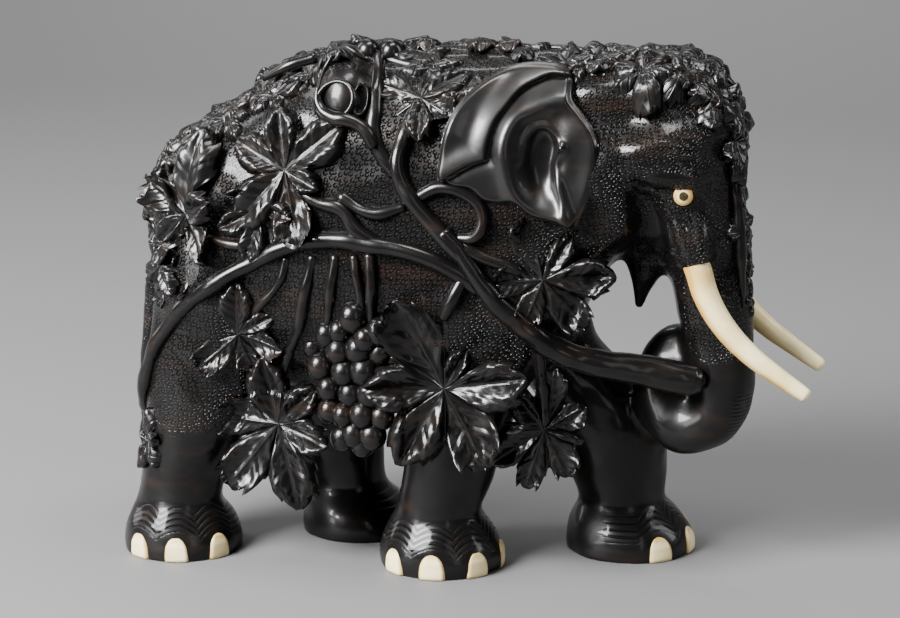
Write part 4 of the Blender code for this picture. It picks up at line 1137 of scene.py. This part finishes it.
def vein_height(tree):
    """Raised midribs and cut side veins, from how far a point lies beside its rib and along it."""
    beside = attribute(tree, "beside_rib")
    rib = maths(tree, "EXPONENT", maths(tree, "MULTIPLY", maths(tree, "MULTIPLY", beside, beside), -1.4))
    count = attribute(tree, "vein_count")
    phase = maths(tree, "ABSOLUTE", maths(tree, "SUBTRACT", maths(tree, "FRACT", count), 0.5))
    cut = maths(tree, "SUBTRACT", 1.0, maths(tree, "DIVIDE", phase, 0.17), True)
    away = maths(tree, "SUBTRACT", beside, 0.9, True)
    return maths(tree, "SUBTRACT", rib, maths(tree, "MULTIPLY", cut, away))


def skin_normal(tree, normal):
    """Punch marks on the skin, grooves over the nails and rings round the trunk's end."""
    settings = bpy.context.scene.elephant
    layout = add_node(tree, "ShaderNodeUVMap", {"uv_map": "Skin"})
    counted = add_node(tree, "ShaderNodeVectorMath", {"operation": "SCALE"},
                       {0: layout.outputs["UV"], "Scale": MILLIMETRE / settings.mark_size})
    marks = add_node(tree, "ShaderNodeGroup", {"node_tree": punch_group()},
                     {"Layout": counted.outputs["Vector"]})
    height = maths(tree, "MULTIPLY", marks.outputs["Height"], attribute(tree, "punch"))
    normal = bumped(tree, height, settings.mark_depth, normal)
    wave = maths(tree, "COSINE", maths(tree, "MULTIPLY", attribute(tree, "groove_count"), 2.0 * math.pi))
    groove = maths(tree, "MULTIPLY", maths(tree, "ADD", wave, 1.0), 0.5)
    groove = maths(tree, "POWER", groove, GROOVE_SHARPNESS)
    depth = maths(tree, "MULTIPLY", maths(tree, "MULTIPLY", groove, attribute(tree, "groove_mask")), -1.0)
    normal = bumped(tree, depth, GROOVE_DEPTH, normal)
    split = add_node(tree, "ShaderNodeSeparateXYZ", {}, {0: object_place(tree)})
    rings = maths(tree, "SINE", maths(tree, "MULTIPLY", split.outputs["Z"], RINGS_TO_THE_METRE))
    rings = maths(tree, "MULTIPLY", rings, attribute(tree, "ring_mask"))
    return bumped(tree, rings, RING_DEPTH, normal, 0.5)


# How each kind of carved surface is worked: share of the polish's roughness, and sheen
WORKED = {"": (1.0, 0.24), "punched": (1.18, 0.18), "veins": (1.12, 0.26), "broad": (1.2, 0.42)}
BLACK_WOOD = (0.0032, 0.0029, 0.0028)
BROWN_WOOD = (0.013, 0.0075, 0.0050)
GRAIN_STRETCH = (9.0, 60.0, 60.0)
COAT = 0.17
COAT_ROUGHNESS = 0.08
# Depths in metres
TOOL_DEPTH = 0.0004
VEIN_DEPTH = 0.0003
GROOVE_DEPTH = 0.0009
GROOVE_SHARPNESS = 5.0
RING_DEPTH = 0.0004
RINGS_TO_THE_METRE = 3600.0


def ebony_material(name, carving=""):
    """Polished near-black wood, with faint brown streaks: punched and grooved skin, or veined leaves."""
    material, tree, shader = tint_material(name)
    grain = noise_height(tree, object_place(tree, GRAIN_STRETCH), 2.2, 6.0, 0.6)
    two_tones(tree, shader, share_between(tree, grain, 0.52, 0.78), BLACK_WOOD, BROWN_WOOD)
    dullness, sheen = WORKED[carving]
    polish = bpy.context.scene.elephant.polish * dullness
    wear = noise_height(tree, object_place(tree), 38.0, 4.0)
    rough = share_between(tree, wear, 0.3, 0.7, polish * 0.8, polish * 1.25)
    tree.links.new(rough, shader.inputs["Roughness"])
    shader.inputs["Specular IOR Level"].default_value = sheen
    shader.inputs["Coat Weight"].default_value = COAT
    shader.inputs["Coat Roughness"].default_value = COAT_ROUGHNESS
    tooled = noise_height(tree, object_place(tree), 160.0, 2.0)
    normal = bumped(tree, tooled, TOOL_DEPTH, None, 0.25)
    if carving == "punched":
        normal = skin_normal(tree, normal)
    if carving == "veins":
        normal = bumped(tree, vein_height(tree), VEIN_DEPTH, normal)
    tree.links.new(normal, shader.inputs["Normal"])
    return material


IVORY = (0.79, 0.69, 0.39)
# Brown of the inlays' stains; on the toenails' rims the same brown is painted shade
IVORY_STAIN_AND_SHADE = (0.43, 0.25, 0.05)
HORN = (0.045, 0.032, 0.010)
DARK_HORN = (0.016, 0.010, 0.005)
IVORY_STRETCH = (26.0, 40.0, 26.0)
IVORY_ROUGHNESS = 0.34


def ivory_material(name, edge_stain_and_shade):
    """Ivory-coloured inlay, yellow-brown in streaks and towards its edges: stains on the tusks, a ring round
    the eyes, and painted shade on the toenails' rims.
    """
    material, tree, shader = tint_material(name)
    cloud = noise_height(tree, object_place(tree, IVORY_STRETCH), 1.6, 5.0, 0.55)
    streaks = maths(tree, "MULTIPLY", share_between(tree, cloud, 0.44, 0.74), 0.60)
    # Edge tone: stains on the tusks, the eyes' ring, and painted shade on the toenails' rims where they meet
    # the feet
    edges = maths(tree, "MULTIPLY", attribute(tree, "edge"), edge_stain_and_shade)
    two_tones(tree, shader, maths(tree, "ADD", streaks, edges, True), IVORY, IVORY_STAIN_AND_SHADE)
    shader.inputs["Roughness"].default_value = IVORY_ROUGHNESS
    shader.inputs["Subsurface Weight"].default_value = 0.12
    shader.inputs["Subsurface Radius"].default_value = (0.004, 0.0025, 0.0015)
    shader.inputs["Subsurface Scale"].default_value = 0.4
    return material


def horn_material():
    """Dark horn with a fine cloudy figure."""
    material, tree, shader = tint_material("horn")
    two_tones(tree, shader, noise_height(tree, object_place(tree), 900.0, 2.0), HORN, DARK_HORN)
    shader.inputs["Roughness"].default_value = 0.2
    return material


def plain_material(name, colour, roughness):
    material, _, shader = tint_material(name)
    shader.inputs["Base Color"].default_value = colour
    shader.inputs["Roughness"].default_value = roughness
    return material


def smooth_ebony():
    return bpy.data.materials.get("ebony_smooth") or ebony_material("ebony_smooth")


# Middle of the tusk's root in the cheek, then the rounding of its tip: its length, and steps before the end
# with the share of the tip's radius
TUSK_SOCKET = (91.5, 20.2, 143.0)
TUSK_TIP_LENGTH = 1.6
TUSK_TIP = ((0.7, 0.82), (0.25, 0.45))


def tusk(side):
    """Tusk with a blunt rounded tip, and how near each point is to its root or its back edge."""
    settings = bpy.context.scene.elephant
    root_radius = settings.tusk_root / MILLIMETRE * 0.5
    tip_radius = settings.tusk_tip / MILLIMETRE * 0.5
    route = [(on_side(side, TUSK_SOCKET), root_radius)]
    for place, (x, y, z) in enumerate(TUSK):
        share = place / (len(TUSK) - 1)
        route.append(((x, side * y, z), root_radius + (tip_radius - root_radius) * share ** 1.5))
    last = on_side(side, TUSK[-1])
    onward = (last - on_side(side, TUSK[-2])).normalized()
    route[-1] = (last - onward * TUSK_TIP_LENGTH, route[-1][1])
    route += [(last - onward * short, tip_radius * share) for short, share in TUSK_TIP]
    thing = tube("tusk", route, 8, 8)
    spots = points_of(thing.data)
    root = np.exp(-(((spots[:, 2] - 135.0) / 5.0) ** 2)) * 0.5
    line = np.array([(x, z) for x, _, z in TUSK], float)
    under = np.interp(spots[:, 2], line[::-1, 1], line[::-1, 0]) - spots[:, 0]
    add_value(thing.data, "edge", np.clip(root + np.clip((under - 1.0) / 4.0, 0.0, 1.0) * 0.75, 0.0, 1.0))
    return thing


# Toenails: height, how far they stand off the foot's wall, how much their edges are rounded, and thickness
NAIL_HEIGHT = 10.8
NAIL_STANDS = 0.55
NAIL_ROUNDING = 0.9
NAIL_THICKNESS = 3.0


def nail(leg_name, direction, width):
    """Arched, slightly domed toenail against the foot's wall."""
    ankle_height = LEGS[leg_name][2][0][0]
    outer = 1.0 if leg_name.endswith("left") else -1.0
    turn = math.radians(direction)
    way = Vector((math.cos(turn), outer * math.sin(turn), 0.0))
    side_way = Vector((-way.y, way.x, 0.0))
    bm = bmesh.new()
    made = bmesh.ops.create_grid(bm, x_segments=14, y_segments=16, size=1.0)
    edges = {}
    bm.verts.index_update()
    for vert in made["verts"]:
        across, climb = vert.co.x, (vert.co.y + 1.0) * 0.5
        tall = 0.3 + (NAIL_HEIGHT - 0.3) * climb ** 0.8
        spread = width * 0.5 * max(0.10, math.sqrt(max(0.0, 1.0 - (tall / NAIL_HEIGHT) ** 3.0)))
        x, y, radius = foot_section(leg_name, tall / ankle_height)
        middle = Vector((x, y, 0.0))
        offset = across * spread
        wall = math.sqrt(radius * radius - offset * offset)
        # Share towards the nail's sides and top, tinted brown: painted shade where the nail meets the foot
        rim = max(abs(across), climb)
        edges[vert.index] = max(0.0, (rim - 0.72) / 0.28)
        out = wall + NAIL_STANDS
        out -= NAIL_ROUNDING * max(0.0, (abs(across) - 0.8) / 0.2) ** 2
        out -= NAIL_ROUNDING * max(0.0, (climb - 0.9) / 0.1) ** 2
        vert.co = middle + way * out + side_way * offset + Vector((0, 0, tall))
    bm.verts.ensure_lookup_table()
    values = [edges[vert.index] for vert in bm.verts]
    back = bmesh.ops.extrude_face_region(bm, geom=bm.faces[:], use_keep_orig=True)
    bmesh.ops.translate(bm, vec=-way * NAIL_THICKNESS,
                        verts=[item for item in back["geom"] if isinstance(item, bmesh.types.BMVert)])
    thing = new_object("nail", bm)
    add_value(thing.data, "edge", (values + [1.0] * len(thing.data.vertices))[: len(thing.data.vertices)])
    return thing


def eye_disc(side, radius, low, high, crown, steps=40):
    facing = on_side(side, EYE_FACING).normalized()
    place = on_side(side, EYE_PLACE)
    bm = bmesh.new()
    bmesh.ops.create_uvsphere(bm, u_segments=steps, v_segments=24, radius=1.0)
    for vert in bm.verts:
        across = math.hypot(vert.co.x, vert.co.y)
        level = low if vert.co.z < -0.02 else high
        if vert.co.z > 0.02:
            level = high + crown * (1.0 - across ** 2)
        vert.co = Vector((vert.co.x * radius, vert.co.y * radius, level))
    turned = facing.to_track_quat("Z", "Y").to_matrix().to_4x4()
    bmesh.ops.transform(bm, matrix=Matrix.Translation(place) @ turned, verts=bm.verts)
    return new_object("disc", bm)


def size_setting(name, description, default, low, high):
    """Setting for a size in metres."""
    return FloatProperty(name=name, description=description, default=default, min=low, max=high,
                         precision=4, subtype="DISTANCE", unit="LENGTH")


class ElephantSettings(PropertyGroup):
    skin_grain: size_setting("Skin grain", "Size of the steps in which the skin is worked",
                             0.0011, 0.0005, 0.004)
    skin_triangles: IntProperty(name="Skin triangles", description="Most triangles in the body's skin",
                                default=180000, min=20000, max=195000)
    mark_size: size_setting("Punch mark spacing", "Distance between the punch marks", 0.0022, 0.0005, 0.01)
    mark_depth: size_setting("Punch mark depth", "Depth of the punch marks", 0.0009, 0.0, 0.002)
    polish: FloatProperty(name="Polish", description="Roughness of the ebony's polish", default=0.26,
                          min=0.05, max=0.9)
    tusk_root: size_setting("Tusk root", "Diameter of the tusks where they leave the cheeks",
                            0.0112, 0.004, 0.02)
    tusk_tip: size_setting("Tusk tip", "Diameter of the tusks at their blunt tips", 0.0060, 0.001, 0.01)
    camera_distance: size_setting("Camera distance", "From the camera to the carving", 1.2, 0.3, 5.0)


# Steps and rounds of smoothing in which the body is melted together
ROUGH_GRAIN = 1.8
ROUGH_ROUNDS = 14
FINE_ROUNDS = 8
# Depth and length of the unevenness of hand-cut wood
SKIN_SWELL = (0.9, 13.0)
VINE_SWELL = (0.8, 9.0)
# Leaves that make the first piece on the right side
FIRST_LEAVES = 12
# Eye and pupil discs: radius, level of the back, level of the edge and rise of the middle
EYE_DISC = (3.9, -4.0, 0.3, 1.1)
PUPIL_DISC = (1.8, -3.9, 1.35, 0.3)
# Toenails of each pair of feet: end, directions and width
NAIL_SETS = (("front", FRONT_NAILS, 11.2), ("rear", REAR_NAILS, 10.6))


class ELEPHANT_OT_body(Operator):
    """Carve the body, head, legs, trunk and tail as one punched skin"""
    bl_idname = "elephant.body"
    bl_label = "Carve the body"

    def execute(self, context):
        settings = context.scene.elephant
        thing = body_form()
        melt(thing, ROUGH_GRAIN)
        relax(thing, ROUGH_ROUNDS)
        melt(thing, settings.skin_grain / MILLIMETRE)
        relax(thing, FINE_ROUNDS)
        carve_side_strokes(thing)
        hand_worked(thing, *SKIN_SWELL)
        level_soles(thing)
        Skin.remember(thing.data)
        thin_out(thing, settings.skin_triangles)
        mark_skin(thing)
        lay_out(thing.data)
        set_down(thing, ebony_material("ebony_punched", "punched"), ["elephant_carving"])
        return {"FINISHED"}


class ELEPHANT_OT_ears(Operator):
    """Carve the two ears"""
    bl_idname = "elephant.ears"
    bl_label = "Carve the ears"

    def execute(self, context):
        broad = ebony_material("ebony_broad", "broad")
        for side, word in ((-1, "right"), (1, "left")):
            thing = ear(side)
            thing.name = "ebony_ear_" + word
            set_down(thing, broad)
        return {"FINISHED"}


class ELEPHANT_OT_vines(Operator):
    """Lay the vines on the carving"""
    bl_idname = "elephant.vines"
    bl_label = "Lay the vines"

    def execute(self, context):
        thing = join_meshes("ebony_vines", vine_forms())
        hand_worked(thing, *VINE_SWELL)
        set_down(thing, smooth_ebony())
        return {"FINISHED"}


class ELEPHANT_OT_leaves(Operator):
    """Carve the vine leaves"""
    bl_idname = "elephant.leaves"
    bl_label = "Carve the leaves"

    def execute(self, context):
        veined = ebony_material("ebony_veined", "veins")
        kept = ("beside_rib", "vein_count")
        right = [leaf(*spec) for spec in LEAVES if spec[1][1] < 0]
        others = [leaf(*spec) for spec in LEAVES if spec[1][1] >= 0]
        set_down(join_meshes("ebony_leaves_right", right[:FIRST_LEAVES], kept), veined)
        set_down(join_meshes("ebony_leaves_back", right[FIRST_LEAVES:] + others, kept), veined)
        set_down(join_meshes("ebony_small_leaves", small_leaves(), kept), veined)
        set_down(join_meshes("ebony_knot", knot_forms()), smooth_ebony())
        return {"FINISHED"}


class ELEPHANT_OT_grapes(Operator):
    """Carve the grapes and berries"""
    bl_idname = "elephant.grapes"
    bl_label = "Carve the grapes"

    def execute(self, context):
        set_down(join_meshes("ebony_grapes", grape_forms()), smooth_ebony())
        return {"FINISHED"}


class ELEPHANT_OT_inlays(Operator):
    """Set the tusks, eyes, pupils and toenails"""
    bl_idname = "elephant.inlays"
    bl_label = "Set the inlays"

    def execute(self, context):
        ivory = ivory_material("ivory_tusk", 1.0)
        # The toenails' edge tone is painted shade round their rims
        nails = ivory_material("ivory_nail", 0.75)
        eyes = ivory_material("ivory_eye", 1.0)
        horn = horn_material()
        for side, word in ((-1, "right"), (1, "left")):
            thing = tusk(side)
            thing.name = "ivory_tusk_" + word
            set_down(thing, ivory, ["tusk_" + word])
            thing = eye_disc(side, *EYE_DISC)
            thing.name = "ivory_eye_" + word
            spots = points_of(thing.data) - np.array(EYE_PLACE) * (1.0, side, 1.0)
            across = np.linalg.norm(spots, axis=1) / EYE_DISC[0]
            add_value(thing.data, "edge", 0.30 + 0.70 * np.clip((across - 0.66) / 0.22, 0.0, 1.0))
            set_down(thing, eyes, ["eye_" + word])
            thing = eye_disc(side, *PUPIL_DISC)
            thing.name = "horn_pupil_" + word
            set_down(thing, horn, ["pupil_" + word])
            for end, directions, width in NAIL_SETS:
                for number, direction in enumerate(directions, 1):
                    thing = nail("%s_%s" % (end, word), direction, width)
                    thing.name = "ivory_nail_%s_%s_%d" % (end, word, number)
                    set_down(thing, nails, ["nail_%s_%s_%d" % (end, word, number)])
        return {"FINISHED"}


# Floor, in metres: its front edge, where it starts to bend up, and the bend's radius and length
FLOOR_FRONT = -0.42
FLOOR_BEND = 1.1
BEND_RADIUS = 0.9
BEND_RUN = 1.4
WALL_HEIGHT = 1.2
FLOOR_HALF_WIDTH = 5.0
FLOOR_COLOUR = (0.115, 0.115, 0.118, 1.0)
ROOM_COLOUR = (0.30, 0.30, 0.305, 1.0)
ROOM_LIGHT = 0.07
# What the camera and the lamps are aimed at, and what the backdrop's lamp is aimed at in metres
AIM = Vector((-10.5, -16.0, 111.0))
BACKDROP_AIM = Vector((0.0, 1.8, 0.6))
# Lamps: name, place in metres, width and height, power
LAMPS = (
    ("key", (-0.75, -0.85, 0.85), (0.62, 0.62), 118.0),
    ("top", (0.15, -0.15, 1.30), (0.6, 0.30), 15.0),
    ("low_left", (-0.9, -0.95, 0.25), (0.3, 0.3), 4.0),
    ("front_fill", (0.75, -1.05, 0.50), (0.25, 0.9), 1.5),
    ("right_rim", (1.0, 0.2, 0.7), (0.3, 0.9), 8.0),
    ("left_rim", (-1.0, 0.25, 0.6), (0.3, 0.9), 7.0),
    ("backdrop", (-0.5, 0.9, 1.4), (1.2, 0.6), 31.0),
)
# Camera: turn to the side and height above in degrees, sensor width, and metres to a pixel
CAMERA_TURN = 14.0
CAMERA_RISE = 14.0
SENSOR_WIDTH = 36.0
PIXEL = 0.00042
PICTURE_WIDTH = 900.0
FITTED_DISTANCE = 1.2


class ELEPHANT_OT_stage(Operator):
    """Set up the floor, the lights and the camera"""
    bl_idname = "elephant.stage"
    bl_label = "Set up the stage"

    def execute(self, context):
        bm = bmesh.new()
        bmesh.ops.create_grid(bm, x_segments=2, y_segments=40, size=1.0)
        for vert in bm.verts:
            whole = FLOOR_BEND - FLOOR_FRONT + BEND_RUN + WALL_HEIGHT
            run = FLOOR_FRONT + whole * (vert.co.y + 1.0) * 0.5
            bend = min(max(0.0, run - FLOOR_BEND), BEND_RUN) / BEND_RADIUS
            rise = max(0.0, run - FLOOR_BEND - BEND_RUN)
            forward = min(run, FLOOR_BEND) + BEND_RADIUS * math.sin(bend)
            vert.co = (vert.co.x * FLOOR_HALF_WIDTH, forward, BEND_RADIUS * (1.0 - math.cos(bend)) + rise)
        floor = new_object("floor", bm)
        floor.data.shade_smooth()
        floor.data.materials.append(plain_material("pale_floor", FLOOR_COLOUR, 0.7))
        target = AIM * MILLIMETRE + SHIFT * MILLIMETRE
        for name, place, size, power in LAMPS:
            lamp = bpy.data.lights.new(name, "AREA")
            lamp.shape = "RECTANGLE"
            lamp.size, lamp.size_y = size
            lamp.energy = power
            light = bpy.data.objects.new(name, lamp)
            light.location = place
            aim = BACKDROP_AIM if name == "backdrop" else target
            light.rotation_euler = (aim - light.location).to_track_quat("-Z", "Y").to_euler()
            context.scene.collection.objects.link(light)
        world = context.scene.world or bpy.data.worlds.new("studio")
        context.scene.world = world
        world.use_nodes = True
        world.node_tree.nodes["Background"].inputs["Color"].default_value = ROOM_COLOUR
        world.node_tree.nodes["Background"].inputs["Strength"].default_value = ROOM_LIGHT
        azimuth, elevation = math.radians(CAMERA_TURN), math.radians(CAMERA_RISE)
        back = Vector((math.sin(azimuth) * math.cos(elevation), -math.cos(azimuth) * math.cos(elevation),
                       math.sin(elevation)))
        lens = bpy.data.cameras.new("camera")
        lens.sensor_width = SENSOR_WIDTH
        lens.lens = SENSOR_WIDTH * FITTED_DISTANCE / (PIXEL * PICTURE_WIDTH)
        camera = bpy.data.objects.new("camera", lens)
        camera.location = target + back * context.scene.elephant.camera_distance
        camera.rotation_euler = (-back).to_track_quat("-Z", "Y").to_euler()
        context.scene.collection.objects.link(camera)
        context.scene.camera = camera
        return {"FINISHED"}


class ELEPHANT_PT_panel(Panel):
    bl_label = "Ebony elephant"
    bl_idname = "ELEPHANT_PT_panel"
    bl_space_type = "VIEW_3D"
    bl_region_type = "UI"
    bl_category = "Elephant"

    def draw(self, context):
        column = self.layout.column()
        for name in ElephantSettings.__annotations__:
            column.prop(context.scene.elephant, name)
        for step in STEPS:
            column.operator(step.bl_idname)


STEPS = (ELEPHANT_OT_body, ELEPHANT_OT_ears, ELEPHANT_OT_vines, ELEPHANT_OT_leaves, ELEPHANT_OT_grapes,
         ELEPHANT_OT_inlays, ELEPHANT_OT_stage)
CLASSES = (ElephantSettings,) + STEPS + (ELEPHANT_PT_panel,)


def register():
    for each in CLASSES:
        bpy.utils.register_class(each)
    bpy.types.Scene.elephant = PointerProperty(type=ElephantSettings)


def unregister():
    del bpy.types.Scene.elephant
    for each in reversed(CLASSES):
        bpy.utils.unregister_class(each)


def main():
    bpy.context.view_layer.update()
    register()
    bpy.ops.elephant.body()
    bpy.ops.elephant.ears()
    bpy.ops.elephant.vines()
    bpy.ops.elephant.leaves()
    bpy.ops.elephant.grapes()
    bpy.ops.elephant.inlays()
    bpy.ops.elephant.stage()


if __name__ == "__main__":
    main()
